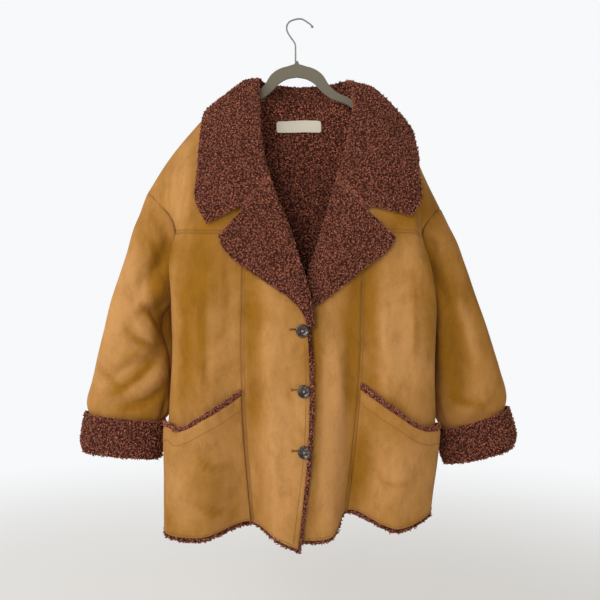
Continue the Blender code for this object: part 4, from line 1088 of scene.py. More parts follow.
def rolled_grid(rows, ends, coat):
    """The visible side of a collar or lapel, fine both ways, and how thick its cloth is in each row."""
    rolls = [row[1] for row in rows]
    rolls = [rolls[0] if ends[0] is None else ends[0], *rolls, rolls[-1] if ends[1] is None else ends[1]]
    cuts = np.array([
        roll_section(neck, roll, unit(rolls[k + 2] - rolls[k]), middle, edge, radius)
        for k, (neck, roll, middle, edge, radius) in enumerate(rows)
    ])
    steps = spaced(0, len(rows) - 1, 2 * len(rows) - 1)
    coarse = np.array([[smooth(cuts[:, j], step) for j in range(cuts.shape[1])] for step in steps])
    thins = np.interp(steps, range(len(rows)), [row[-1] / ROLL_RADIUS for row in rows])
    coarse = clear_of(coat, coarse, (COLLAR_LIFT + 1.0) * thins)
    edge_line = lambda at: smooth(coarse[:, -1], at)
    across, _ = rows_between(edge_line, 0, len(coarse) - 1, ROLLED_STEP, (GORGE_GAP / 2, GORGE_GAP / 2))
    up, _ = rows_between(lambda at: smooth(coarse[len(coarse) // 2], at), 0, coarse.shape[1] - 1, ROLLED_STEP)
    lines = [[smooth(coarse[:, j], step) for j in range(coarse.shape[1])] for step in across]
    grid = np.array([[smooth(line, at) for at in up] for line in lines])
    return grid, np.interp(across, range(len(coarse)), thins), up


def node_tree(name, bumped=True, **given):
    """An empty shader node group with its sockets: first colours or numbers in, colour and maybe normal out."""
    group = bpy.data.node_groups.new(name, "ShaderNodeTree")
    for label, value in given.items():
        kind = "NodeSocketFloat" if isinstance(value, float) else "NodeSocketColor"
        group.interface.new_socket(label, in_out="INPUT", socket_type=kind).default_value = value
    group.interface.new_socket("Color", in_out="OUTPUT", socket_type="NodeSocketColor")
    if bumped:
        group.interface.new_socket("Normal", in_out="OUTPUT", socket_type="NodeSocketVector")
    return group, group.nodes.new("NodeGroupInput").outputs, group.nodes.new("NodeGroupOutput").inputs


def add_node(tree, kind, links=(), **values):
    """A node with its settings, socket values and links from (socket of another node, own socket name)."""
    node = tree.nodes.new(f"ShaderNode{kind}")
    for key, value in values.items():
        if hasattr(node, key):
            setattr(node, key, value)
        else:
            node.inputs[key.replace("_", " ")].default_value = value
    for source, target in links:
        tree.links.new(source, node.inputs[target])
    return node


def ramp(tree, source, *stops):
    """A colour ramp of stops: place, and a colour or a grey."""
    node = tree.nodes.new("ShaderNodeValToRGB")
    node.color_ramp.interpolation = "EASE"
    while len(node.color_ramp.elements) < len(stops):
        node.color_ramp.elements.new(0.5)
    for element, (place, colour) in zip(node.color_ramp.elements, stops):
        element.position = place
        element.color = (*colour, 1) if isinstance(colour, tuple) else (colour, colour, colour, 1)
    tree.links.new(source, node.inputs["Fac"])
    return node.outputs["Color"]


def filled(tree, node, values):
    """Sets the node's sockets by number, each to a value or by a link from a socket."""
    for socket, value in values.items():
        if hasattr(value, "is_linked"):
            tree.links.new(value, node.inputs[socket])
        else:
            node.inputs[socket].default_value = value
    return node


def blended(tree, factor, a, b, blend="MIX"):
    node = tree.nodes.new("ShaderNodeMix")
    node.data_type, node.blend_type = "RGBA", blend
    return filled(tree, node, {0: factor, 6: a, 7: b}).outputs[2]


def times(tree, a, b):
    return blended(tree, 1.0, a, b, "MULTIPLY")


def maths(tree, operation, *values):
    node = tree.nodes.new("ShaderNodeMath")
    node.operation = operation
    return filled(tree, node, dict(enumerate(values))).outputs["Value"]


def coordinates(tree, kind="Object"):
    return add_node(tree, "TexCoord").outputs[kind]


def noise(tree, place, scale, **more):
    return add_node(tree, "TexNoise", [(place, "Vector")], Scale=scale, **more).outputs["Fac"]


def bumps(tree, height, strength, distance, *under):
    """A normal bent by a height, on top of another normal if there is one."""
    links = [(height, "Height"), *((normal, "Normal") for normal in under)]
    return add_node(tree, "Bump", links, Strength=strength, Distance=distance).outputs["Normal"]


def closed(group, out, colour, *normal):
    """The group with its results linked to its way out."""
    for label, result in zip(("Color", "Normal"), (colour, *normal)):
        group.links.new(result, out[label])
    return group


def light_and_nap_group():
    """Suede: painted light and shade from the painted light map, broken up by random mottled patches, with fine grain
    and rubbed spots.
    """
    group, given, out = node_tree("Suede painted light and nap", Lit=TONE, Shade=TONE, Amount=0.5)
    place = coordinates(group)
    stretched = add_node(group, "Mapping", [(place, "Vector")], Scale=(1.0, 1.0, 0.55)).outputs["Vector"]
    patches = noise(group, stretched, 9.0, Detail=5.0, Roughness=0.62, Distortion=0.6)
    streaks = noise(group, stretched, 42.0, Detail=6.0, Roughness=0.68, Distortion=0.3)
    grain = noise(group, place, 900.0, Detail=2.0)
    crumple = noise(group, place, 17.0, Detail=3.0, Roughness=0.5, Distortion=0.8)
    light_uv = add_node(group, "UVMap", uv_map="Nap").outputs["UV"]
    way = add_node(group, "SeparateXYZ", [(light_uv, "Vector")]).outputs["X"]
    both = maths(group, "ADD", way, maths(group, "MULTIPLY_ADD", patches, 0.9, -0.45))
    # Painted light and shade: the mix between the lit and the shaded copy of the suede's colour.
    mixed = blended(group, ramp(group, both, (0.17, 0), (0.83, 1)), given["Shade"], given["Lit"])
    marks = ramp(group, streaks, (0.28, (0.82, 0.78, 0.7)), (0.58, 1.03), (0.78, 1.14))
    marked = blended(group, given["Amount"], mixed, times(group, mixed, marks))
    fine = ramp(group, grain, (0.3, 0.9), (0.7, 1.06))
    soft = bumps(group, streaks, 0.3, 0.0018, bumps(group, crumple, 0.4, 0.012))
    return closed(group, out, times(group, marked, fine), bumps(group, grain, 0.35, 0.0004, soft))


def pile_group():
    """Curly pile: every lock has a tone of its own (across its map) and goes from the root colour, painted shade deep
    between the locks, to the lighter tip colour (up its map).
    """
    group, given, out = node_tree("Sherpa pile", bumped=False, Root=TONE, Tip=TONE)
    parts = add_node(group, "SeparateXYZ", [(coordinates(group, "UV"), "Vector")])
    # Painted shade: darker towards each lock's root.
    up = ramp(group, parts.outputs["Y"], (0.05, 0), (0.75, 1))
    own = ramp(group, parts.outputs["X"], (0.0, (0.6, 0.58, 0.58)), (0.5, 1), (1.0, 1.4))
    clumps = noise(group, coordinates(group), 165.0, Detail=1.5)
    clumped = ramp(group, clumps, (0.38, (0.78, 0.77, 0.77)), (0.62, 1.25))
    colour = times(group, blended(group, up, given["Root"], given["Tip"]), clumped)
    return closed(group, out, times(group, colour, own))


def backing_group():
    """The ground of the pile, where no locks are modelled: the root colour, painted shade between curls, with knots of
    lighter curls.
    """
    group, given, out = node_tree("Sherpa ground", Root=TONE, Tip=TONE)
    place = coordinates(group)
    swirl = noise(group, place, 230.0, Detail=2.0, Distortion=2.5)
    knots = add_node(group, "TexVoronoi", [(place, "Vector")], Scale=210.0, Randomness=1.0)
    both = maths(group, "SUBTRACT", swirl, knots.outputs["Distance"])
    mask = ramp(group, both, (0.0, 0), (0.45, 1))
    return closed(group, out, blended(group, mask, given["Root"], given["Tip"]), bumps(group, both, 0.9, 0.003))


def weave_group():
    """Satin tape: fine ribs across it."""
    group, given, out = node_tree("Tape weave", Tint=TONE)
    across = [(coordinates(group, "UV"), "Vector")]
    wave = add_node(group, "TexWave", across, Scale=900.0, Distortion=0.4).outputs["Fac"]
    shade = ramp(group, wave, (0.0, (0.9, 0.9, 0.88)), (1.0, 1))
    return closed(group, out, times(group, given["Tint"], shade), bumps(group, wave, 0.3, 0.0002))


def marble_group():
    """Horn: dark brown with grey and honey veins."""
    group, given, out = node_tree("Horn marbling", bumped=False, Dark=TONE, Vein=TONE)
    vein = noise(group, coordinates(group), 75.0, Detail=3.0, Distortion=2.2)
    mask = ramp(group, vein, (0.5, 0), (0.7, 1))
    return closed(group, out, blended(group, mask, given["Dark"], given["Vein"]))


def finish_of(name, group, colours, **settings):
    """A material whose colour, and normal if it has one, come from a node group."""
    material = bpy.data.materials.new(name)
    material.use_nodes = True
    tree = material.node_tree
    shader = tree.nodes["Principled BSDF"]
    for label, value in settings.items():
        shader.inputs[label.replace("_", " ")].default_value = value
    if group is None:
        shader.inputs["Base Color"].default_value = colours
        return material
    made = tree.nodes.new("ShaderNodeGroup")
    made.node_tree = group
    for label, value in colours.items():
        made.inputs[label].default_value = value
    tree.links.new(made.outputs["Color"], shader.inputs["Base Color"])
    if "Normal" in made.outputs:
        tree.links.new(made.outputs["Normal"], shader.inputs["Normal"])
    return material


def make_finishes():
    colours = bpy.context.scene.coat_colours
    solid = lambda name, times=1: (*(times * part for part in getattr(colours, name)), 1)
    locks = pile_group()
    woolly = dict(Roughness=0.75, Sheen_Weight=0.12, Sheen_Tint=(0.9, 0.5, 0.4, 1), Specular_IOR_Level=0.2)
    pile = {"Root": solid("pile_root_shade"), "Tip": solid("pile_tip")}
    plain = lambda name, slot, **more: finish_of(name, None, solid(slot), **more)
    FINISHES.update(
        # Its lit and shaded colours are painted light and painted shade.
        suede=finish_of(
            "suede", light_and_nap_group(), {"Lit": solid("suede_lit"), "Shade": solid("suede_shade"), "Amount": 0.8},
            Roughness=0.92, Sheen_Weight=0.14, Sheen_Roughness=0.5, Sheen_Tint=(0.95, 0.66, 0.4, 1),
            Specular_IOR_Level=0.08,
        ),
        pile=finish_of("sherpa pile", locks, pile, **woolly),
        # The same pile with painted light: lighter tips inside the neck.
        inner_pile=finish_of("sherpa pile inside", locks, {**pile, "Tip": solid("pile_tip", INSIDE_PAINTED_LIGHT)}, **woolly),
        ground=finish_of("sherpa ground", backing_group(), pile, Roughness=0.95, Specular_IOR_Level=0.1),
        thread=plain("suede thread", "thread", Roughness=0.6),
        button_thread=plain("button thread", "button_thread", Roughness=0.6),
        slit=finish_of("buttonhole slit", None, SLIT_SHADE, Roughness=0.9),
        horn=finish_of("horn", marble_group(), HORN, Roughness=0.22, Coat_Weight=0.4, Coat_Roughness=0.1),
        tape=finish_of("tape", weave_group(), {"Tint": solid("tape")}, Roughness=0.55, Sheen_Weight=0.2),
        velvet=plain("velvet flock", "velvet", Roughness=0.95, Sheen_Weight=0.3, Specular_IOR_Level=0.1),
        chrome=finish_of("chrome", None, CHROME, Roughness=0.42, Metallic=0.6),
    )
    return FINISHES


class Cloth:
    """The coat's surfaces and what is made of them, worked out once."""

    def __init__(self):
        self.left, self.right = front_surface(LEFT_RIBS, 1), front_surface(RIGHT_RIBS, -1)
        self.back_left = back_side_surface("left", self.left)
        self.back_right = back_side_surface("right", self.right)
        self.back_middle = back_middle_surface(self.back_left, self.back_right)
        self.fronts = {"left": self.left, "right": self.right}
        self.backs = {"left": self.back_left, "right": self.back_right}
        lapels = {side: lapel_rows(side, surface) for side, surface in self.fronts.items()}
        collar = collar_rows(self.left, self.right, self.back_middle, (lapels["left"], lapels["right"]))
        rough = {}
        for side in ("left", "right"):
            whole = np.linspace(0, FRONT_EDGE, 12), np.linspace(0, SHOULDER, 24)
            rough[side] = [(self.fronts[side].grid(*whole), side == "right"),
                           (self.backs[side].grid(*whole), side == "left")]
        middle = self.back_middle.grid(np.linspace(0, 4, 9), np.linspace(0, SHOULDER, 24))
        coat = tree_of([*rough["left"], *rough["right"], (middle, True)])
        below = tree_of(rough["right"])
        self.rolled = {
            "lapel_left": rolled_grid(lapels["left"], (None, collar[1][1]), coat),
            "lapel_right": rolled_grid(lapels["right"], (None, collar[-2][1]), below),
            "collar": rolled_grid(collar, (lapels["left"][-2][1], lapels["right"][-2][1]), coat),
        }


def cloth():
    if not CLOTHS:
        CLOTHS.append(Cloth())
    return CLOTHS[0]


def dips(across, up):
    """How far a piece's outer side drops towards its cut edges, from the rows' distances to them."""
    press = lambda away: np.exp(-((away / EDGE_SOFT) ** 2))
    return -EDGE_DIP * np.maximum(press(across)[:, None], press(up)[None, :])


def calm(grid, first, last, top):
    """A share of the creases that falls to nothing at the seams where another surface meets this one."""
    near = lambda away: np.clip(away / CALM_EDGE, 0, 1)
    ease = lambda away: near(away) ** 2 * (3 - 2 * near(away))
    share = np.ones(grid.shape[:2])
    across = travelled(grid, 0)
    if first:
        share *= ease(across)
    if last:
        share *= ease(across[-1:] - across)
    if top:
        share *= ease(travelled(grid[:, ::-1], 1)[:, ::-1])
    return share


def part_at(parts, at):
    """The surface and station at a place counted in surfaces: (surface, first station, last station) each."""
    k = min(int(at), len(parts) - 1)
    surface, start, end = parts[k]
    return surface, start + (end - start) * (at - k)


def across_of(parts, level):
    """A line across surfaces that lie side by side, at a level."""
    def line(at):
        surface, station = part_at(parts, at)
        return surface.point(station, level)
    return line


def spread_grid(parts, places, levels):
    """Points of surfaces that lie side by side, at places counted in surfaces."""
    ends = (part_at(parts, at) for at in places)
    return np.array([surface.grid([station], levels)[0] for surface, station in ends])


def make_panel(name, parts, levels, sense, creases, trims=((0, 0), (0, 0)), joins=(False, False, False),
               sherpa_rims=(False,) * 4):
    """A cloth piece of the body: its outer side, the inner side below it, and both sides' points and normals."""
    looks = finishes()
    middle = (levels[0] + levels[1]) / 2
    centre = parts[len(parts) // 2]
    upward = lambda level: centre[0].point((centre[1] + centre[2]) / 2, level)
    line = across_of(parts, middle)
    step = size("cloth_step")
    (u_out, eu), (u_in, _) = (rows_between(line, 0, len(parts), step, trim) for trim in (trims[0], (0, 0)))
    (v_out, ev), (v_in, _) = (rows_between(upward, *levels, step, trim) for trim in (trims[1], (0, 0)))
    sides = []
    for u, v in ((u_out, v_out), (u_in, v_in)):
        grid = spread_grid(parts, u, v)
        normals = sense * normals_of(grid)
        sides.append((grid, normals, calm(grid, *joins) * hung(grid, normals, creases, BACK_CREASES)))
    (grid, normals, out), (under, under_normals, under_out) = sides
    outer = grid + (out + dips(eu, ev))[..., None] * normals
    inner = under + (under_out - SHELL)[..., None] * under_normals
    # The suede gets painted light and shade from the strokes.
    made, cut = cloth_shell(name, outer, inner, [looks["suede"], looks["ground"]], "hung", ["hanger_body"],
                            painted_light=painted_light_of(grid, normals))
    paint_rims(made, outer.shape[:2], sherpa_rims)
    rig.slot(made, "suede")
    return made, cut, outer, inner, normals


def paint_rims(made, shape, which):
    """Gives the rims at the bottom, top, first and last edges the sherpa or the suede."""
    across, up = shape
    faces = 2 * (across - 1) * (up - 1)
    values = np.repeat([int(sherpa) for sherpa in which], (across - 1, across - 1, up - 1, up - 1))
    own = np.empty(len(made.data.polygons), int)
    made.data.polygons.foreach_get("material_index", own)
    own[faces:] = values
    made.data.polygons.foreach_set("material_index", own)


def fringe(name, outer_line, inner_line, inward, normals, seed, length=None, lean=0.35, density=1.0):
    """Locks that stand out of a cut edge, between its outer and inner lines."""
    grid = np.stack((outer_line, inner_line), axis=1)
    ways = unit(unit(grid - inward[:, None]) + lean * normals[:, None])
    roots, out = scattered(grid, ways, size("lock_spacing") * FRINGE_CLOSER / density, seed)
    return curls(name, roots, out, length or size("lock_length", 1.3), size("lock_radius", 1.2), seed,
                 finishes()["pile"], bend=(0.1, 2.0), spread=0.4)


def join(name, objects):
    """One object from several, with the first one's material."""
    first = objects[0]
    for other in bpy.context.selected_objects:
        other.select_set(False)
    for made in objects:
        made.select_set(True)
    bpy.context.view_layer.objects.active = first
    if len(objects) > 1:
        bpy.ops.object.join()
    first.name = name
    first.select_set(False)
    return first


def pile_on(name, grid, normals, seed, ring=False, keep=None, finish="pile"):
    roots, ways = scattered(grid, normals, size("lock_spacing"), seed, ring, keep)
    return curls(name, roots, ways, size("lock_length"), size("lock_radius"), seed, finishes()[finish])


def declare(made, cut, *extras):
    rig.sheet(made, with_pieces=list(extras), **cut)


def length_property(name, description, default, low, high):
    return bpy.props.FloatProperty(
        name=name, description=description, default=default, min=low, max=high, unit="LENGTH", subtype="DISTANCE",
    )


def colour_property(name, description, default):
    return bpy.props.FloatVectorProperty(
        name=name, description=description, default=default, size=3, min=0, max=1, subtype="COLOR",
    )


class CoatSizes(bpy.types.PropertyGroup):
    """Sizes of what is laid on the coat's forms"""

    cloth_step: length_property("Cloth Step", "From one row of a cloth piece's points to the next", 0.0075, 0.003, 0.03)
    lock_spacing: length_property("Lock Spacing", "Between the pile's curled locks", 0.0036, 0.002, 0.02)
    lock_length: length_property("Lock Length", "Of a curled lock", 0.0058, 0.002, 0.03)
    lock_radius: length_property("Lock Radius", "Half a lock's thickness at its root", 0.0013, 0.0003, 0.005)
    stitch_pitch: length_property("Stitch Pitch", "From one topstitch to the next", 0.0042, 0.002, 0.02)


class CoatColours(bpy.types.PropertyGroup):
    """Colours of the coat's materials"""

    # Lit and shaded copies of the suede's colour: painted light and painted shade.
    suede_lit: colour_property("Suede Painted Light", "Lit copy of the suede colour, for painted light", (0.475, 0.243, 0.084))
    suede_shade: colour_property("Suede Painted Shade", "Shaded copy of the suede colour, for painted shade", (0.265, 0.115, 0.01))
    # The pile's root colour is painted shade deep between the locks.
    pile_root_shade: colour_property("Pile Root Shade", "Painted shade deep between the locks", (0.052, 0.014, 0.009))
    pile_tip: colour_property("Pile Tip", "The sherpa at the ends of its locks", (0.36, 0.122, 0.073))
    thread: colour_property("Thread", "The topstitching", (0.27, 0.12, 0.022))
    button_thread: colour_property("Button Thread", "What holds the buttons", (0.5, 0.3, 0.24))
    tape: colour_property("Tape", "The neck label", (0.82, 0.77, 0.64))
    velvet: colour_property("Velvet", "The hanger's flock", (0.15, 0.137, 0.103))


class COAT_OT_body(bpy.types.Operator):
    """Makes the fronts, the yokes and the back"""

    bl_idname = "coat.body"
    bl_label = "Coat Body"

    def execute(self, context):
        coat = cloth()
        for side, surface in coat.fronts.items():
            sense = surface.sense
            strip = FRONT_STRIP if side == "left" else 0.0
            made, cut, _, _, _ = make_panel(
                f"side_front_{side}", [(surface, 0, PANEL_SEAM)], (0, YOKE_SEAM), sense, FRONT_CREASES,
                ((0, 0), (HEM_PEEK, 0)), (True, False, False), HEM_RIM,
            )
            edge = fringe(f"hem_pile_side_{side}", *hem_lines(surface, 0.02, 2.98), seed=11 + (side == "right"))
            declare(made, cut, edge)
            made, cut, outer, inner, normals = make_panel(
                f"centre_front_{side}", [(surface, PANEL_SEAM, FRONT_EDGE)], (0, YOKE_SEAM), sense, FRONT_CREASES,
                ((0, strip), (HEM_PEEK, 0)), (False, False, False), (True, False, False, True),
            )
            hem = fringe(f"hem_pile_centre_{side}", *hem_lines(surface, 3.02, 4.98), seed=13 + (side == "right"))
            rows = inner.shape[1] * 6 // 10
            strip_pile = fringe(
                f"edge_pile_{side}", outer[-1, :rows], inner[-1, :rows], outer[-3, :rows], normals[-1, :rows],
                seed=15 + (side == "right"), length=5.2, lean=0.5, density=1.2,
            )
            declare(made, cut, hem, strip_pile)
            made, cut, _, _, _ = make_panel(
                f"front_yoke_{side}", [(surface, 0, FRONT_EDGE)], (YOKE_SEAM, SHOULDER), sense, FRONT_CREASES,
                joins=(True, False, True),
            )
            declare(made, cut)
        parts = [(coat.back_left, 0, FRONT_EDGE), (coat.back_middle, 0, 4), (coat.back_right, FRONT_EDGE, 0)]
        made, cut, outer, inner, normals = make_panel(
            "back_body", parts, (0, YOKE_SEAM), -1, (), ((0, 0), (HEM_PEEK, 0)), (True, True, False), HEM_RIM,
        )
        hem = fringe("hem_pile_back", outer[:, 0], inner[:, 0], outer[:, 2], normals[:, 0], seed=17)
        lining = pile_on("back_pile", inner, -normals, 18, keep=shows_at_neck, finish="inner_pile")
        declare(made, cut, hem, lining)
        made, cut, outer, inner, normals = make_panel(
            "back_yoke", parts, (YOKE_SEAM, SHOULDER), -1, (), joins=(True, True, True)
        )
        lining = pile_on("yoke_pile", inner, -normals, 19, keep=shows_at_neck, finish="inner_pile")
        declare(made, cut, lining)
        return {"FINISHED"}


def shows_at_neck(places):
    """One where the coat's inside shows through its open neck, nothing elsewhere."""
    x, z = places[:, 0], places[:, 2]
    return ((x > -135) & (x < 150) & (z > -650)).astype(float)


def hem_lines(surface, first, last):
    """The cloth's edge at the hem: its outer and inner lines, a line further in and the normals."""
    stations = np.linspace(first, last, 60)
    grid = surface.grid(stations, (0.0, 0.03, 0.06))
    normals = surface.sense * normals_of(grid)
    rise = unit(grid[:, 1] - grid[:, 0])
    out = hung(grid[:, 0], normals[:, 0], FRONT_CREASES, BACK_CREASES)[:, None] * normals[:, 0]
    outer = grid[:, 0] + HEM_PEEK * rise + out - 0.5 * normals[:, 0]
    return outer, grid[:, 0] + out - SHELL * normals[:, 0], outer + 6 * rise, normals[:, 0]


class COAT_OT_sleeves(bpy.types.Operator):
    """Makes the sleeves, open tubes that hang from dropped armholes"""

    bl_idname = "coat.sleeves"
    bl_label = "Coat Sleeves"

    def execute(self, context):
        coat, looks = cloth(), finishes()
        step = size("cloth_step")
        for side, front in coat.fronts.items():
            upward = lambda level: front.point(0, level)
            levels, _ = rows_between(upward, UNDERARM, SHOULDER, step)
            loop = armhole_loop(front, coat.backs[side], list(levels[1:-1]))
            turns = turns_of(loop)
            rings = np.array([loop, *(ring_points(row, turns) for row in SLEEVE_RINGS[side])])
            grid, edge = rings_grid(rings, step)
            sense = -front.sense
            normals = sense * normals_of(grid, ring=True)
            run = run_of(grid[len(grid) // 4])
            share = np.clip(np.minimum(run, run[-1] - run + 8) / CALM_EDGE, 0, 1)
            out = share * hung(grid, normals, SLEEVE_CREASES, BACK_CREASES)
            inward = np.clip(front.sense * normals[..., 0], 0, 1) * np.clip((grid[..., 1] - 2) / 14, 0, 1)
            out += inward * np.interp(-grid[..., 2], *SLEEVE_TO_BODY[side])
            pulls = PULL_HEIGHT * np.sin(np.array(turns)[:, None] * 2 * math.pi * PULLS)
            pulls = pulls * np.exp(-(run / PULL_REACH) ** 2)
            out += pulls * np.clip(run / 6, 0, 1)
            out -= 1.6 * EDGE_DIP * np.exp(-((edge / EDGE_SOFT) ** 2))
            outer = grid + out[..., None] * normals
            # The suede gets painted light and shade from the strokes.
            made, cut = cloth_shell(
                f"sleeve_{side}", outer, outer - SHELL * normals,
                [looks["suede"], looks["ground"]], "hung", [f"front_yoke_{side}", "back_yoke"], ring=True, rim=0,
                painted_light=painted_light_of(grid, normals),
            )
            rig.slot(made, "suede")
            declare(made, cut)
        return {"FINISHED"}


class COAT_OT_collar(bpy.types.Operator):
    """Makes the collar and the lapels with their pile outside"""

    bl_idname = "coat.collar"
    bl_label = "Coat Collar"

    def execute(self, context):
        coat, looks = cloth(), finishes()
        bases = {}
        for number, (name, sense) in enumerate((("lapel_left", 1), ("lapel_right", -1), ("collar", 1))):
            grid, thins, up = coat.rolled[name]
            normals = sense * normals_of(grid)
            thick = thins[:, None, None]
            high, close = COLLAR_WAVES
            grid = grid + high * unevenness(grid * close)[..., None] * thick * normals
            base, under = grid - PILE_ROOT * thick * normals, grid - PILE_BACK * thick * normals
            bases[name] = base, normals, up
            held_on = [f"front_yoke_{side}" for side in ("left", "right")]
            made, cut = cloth_shell(name, base, under, [looks["ground"], looks["suede"]], "folded", held_on,
                                    rim=0)
            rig.slot(made, "sherpa")
            pile = pile_on(f"{name}_pile", base, normals, 30 + number)
            rims = [
                fringe("rim", base[:, -1], under[:, -1], base[:, -3], normals[:, -1], seed=40 + number, length=5.5),
                fringe("rim", base[0], under[0], base[2], normals[0], seed=50 + number, length=4.5),
                fringe("rim", base[-1], under[-1], base[-3], normals[-1], seed=60 + number, length=4.5),
            ]
            if name == "collar":
                rims += [self.over_gorge(bases["collar"], 0, bases["lapel_left"], 90),
                         self.over_gorge(bases["collar"], -1, bases["lapel_right"], 91)]
            declare(made, cut, pile, join(f"{name}_edge_pile", rims))
        return {"FINISHED"}

    def over_gorge(self, collar, end, lapel, seed):
        """Locks that close over the seam between the collar and a lapel, as far as the notch."""
        places = np.linspace(0.3, NOTCH, 40)
        rows = []
        for (base, normals, up), row in ((collar, end), (lapel, -1)):
            rows.append([np.stack([np.interp(places, up, part[row][:, k]) for k in range(3)], axis=1)
                         for part in (base, normals)])
        middle = [(rows[0][k] + rows[1][k]) / 2 for k in range(2)]
        points = np.stack((rows[0][0], middle[0] - 0.6 * middle[1], rows[1][0]), axis=1)
        ways = unit(np.stack((rows[0][1], middle[1], rows[1][1]), axis=1))
        roots, out = scattered(points, ways, 1.9, seed)
        return curls("gorge", roots, out, size("lock_length"), size("lock_radius", 1.15), seed, finishes()["pile"],
                     bend=(0.5, 2.4))


class COAT_OT_cuffs(bpy.types.Operator):
    """Makes the turned-back cuffs"""

    bl_idname = "coat.cuffs"
    bl_label = "Coat Cuffs"

    def execute(self, context):
        looks = finishes()
        for number, (side, sense) in enumerate((("left", -1), ("right", 1))):
            rings = np.array([ring_points(row, spaced(0, 1, 73)[:-1]) for row in CUFF_RINGS[side]])
            grid, _ = rings_grid(rings, ROLLED_STEP)
            normals = sense * normals_of(grid, ring=True)
            high, close = CUFF_WAVES
            grid = grid + high * unevenness(grid * close)[..., None] * normals
            base, under = grid - CUFF_ROOT * normals, grid - CUFF_BACK * normals
            name = f"cuff_{side}"
            made, cut = cloth_shell(name, base, under, [looks["ground"], looks["suede"]], "folded",
                                    [f"sleeve_{side}"], ring=True, rim=0)
            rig.slot(made, "sherpa")
            pile = pile_on(f"{name}_pile", base, normals, 70 + number, ring=True)
            rims = []
            for end, inward, seed in ((0, 2, 72), (-1, -3, 74)):
                lines = [np.concatenate((part, part[:1])) for part in
                         (base[:, end], under[:, end], base[:, inward], normals[:, end])]
                rims.append(fringe("rim", *lines, seed=seed + number, length=6.5 if end else 5.0))
            declare(made, cut, pile, join(f"{name}_edge_pile", rims))
        return {"FINISHED"}


def pocket_points(side, surface, stations, heights, lift_more):
    """Points of a pocket at stations and shares of its height, and their normals."""
    lips = sorted(surface.locate(x, z, guess, 1.2) for (x, z), guess in zip(POCKET_LIP[side], POCKET_LIP_NEAR))
    first, last = POCKET_SPAN
    lip = np.array(lips)
    points, normals = [], []
    for s in stations:
        at = np.interp(s, lip[:, 0], np.arange(len(lip)))
        top = smooth(lip, at)[1]
        gape = POCKET_GAPE * max(math.sin(math.pi * (s - first) / (last - first)), 0.0) ** 0.7
        column, ways = [], []
        for height in heights:
            level = POCKET_FOOT + (top - POCKET_FOOT) * height
            way = surface.normal(s, level)
            lift = POCKET_LIFT + gape * min(height, 1.0) ** 1.5 + lift_more
            column.append(surface.point(s, level) + lift * way)
            ways.append(way)
        points.append(column)
        normals.append(ways)
    return np.array(points), np.array(normals)


class COAT_OT_pockets(bpy.types.Operator):
    """Makes the patch pockets with pile along their slanting mouths"""

    bl_idname = "coat.pockets"
    bl_label = "Coat Pockets"

    def execute(self, context):
        coat, looks = cloth(), finishes()
        for number, (side, surface) in enumerate(coat.fronts.items()):
            middle = lambda station: surface.point(station, 0.6)
            stations, eu = rows_between(middle, *POCKET_SPAN, POCKET_STEP)
            rise = lambda share: np.array((0.0, 0.0, POCKET_TALL * share))
            v_out, ev = rows_between(rise, 0, 1, POCKET_STEP, (HEM_PEEK, 0))
            v_in, _ = rows_between(rise, 0, 1 + LIP_PEEK, POCKET_STEP)
            v_in = np.interp(np.linspace(0, 1, len(v_out)), np.linspace(0, 1, len(v_in)), v_in)
            outer, normals = pocket_points(side, surface, stations, v_out, POCKET_CLOTH)
            inner, under = pocket_points(side, surface, stations, v_in, POCKET_CLOTH - 2.5)
            outer = outer + (hung(outer, normals, FRONT_CREASES, ()) + dips(eu, ev))[..., None] * normals
            inner = inner + hung(inner, under, FRONT_CREASES, ())[..., None] * under
            name = f"pocket_{side}"
            # The suede gets painted light and shade from the strokes.
            made, cut = cloth_shell(name, outer, inner, [looks["suede"], looks["ground"]], "laid",
                                    [f"side_front_{side}"], painted_light=painted_light_of(outer, normals))
            paint_rims(made, outer.shape[:2], (True, True, False, False))
            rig.slot(made, "suede")
            lip = fringe(f"{name}_lip_pile", outer[:, -1] - 1.6 * normals[:, -1], inner[:, -1], outer[:, -3],
                         normals[:, -1], seed=80 + number, length=5.0, lean=0.3, density=1.5)
            hem = fringe(f"{name}_hem_pile", outer[:, 0] - 1.0 * normals[:, 0], inner[:, 0], outer[:, 2],
                         normals[:, 0], seed=82 + number)
            declare(made, cut, lip, hem)
        return {"FINISHED"}


def line_on(surface, stations, levels, offset, creases=(), lift=0.3):
    """A line on the cloth beside a seam, along one station or one level: its points and normals."""
    seam_goes_up = np.ndim(stations) == 0
    points, normals = [], []
    for s, t in zip(*np.broadcast_arrays(stations, levels)):
        if seam_goes_up:
            s = s + offset / np.linalg.norm(surface.point(s + 0.05, t) - surface.point(s - 0.05, t)) * 0.1
        else:
            t = t + offset / np.linalg.norm(surface.point(s, t + 0.05) - surface.point(s, t - 0.05)) * 0.1
        points.append(surface.point(s, t))
        normals.append(surface.normal(s, t))
    points, normals = np.array(points), np.array(normals)
    return points + (hung(points, normals, creases, BACK_CREASES) + lift)[:, None] * normals, normals


def lines_on_pocket(side, surface):
    """The lines of stitches below a pocket's lip and above its foot."""
    start, end = POCKET_SPAN
    grid, ways = pocket_points(side, surface, np.linspace(start + 0.03, end - 0.03, 40), np.linspace(0, 1, 81),
                               POCKET_CLOTH + 0.3)
    for below_lip, above_foot in ((LIP_TO_STITCH, None), (None, HEM_TO_STITCH)):
        points, normals = [], []
        for column, facing in zip(grid, ways):
            run = run_of(column)
            at = run[-1] - below_lip if below_lip else above_foot
            points.append([np.interp(at, run, column[:, k]) for k in range(3)])
            normals.append([np.interp(at, run, facing[:, k]) for k in range(3)])
        points, normals = np.array(points), unit(np.array(normals))
        yield points + hung(points, normals, FRONT_CREASES, ())[:, None] * normals, normals


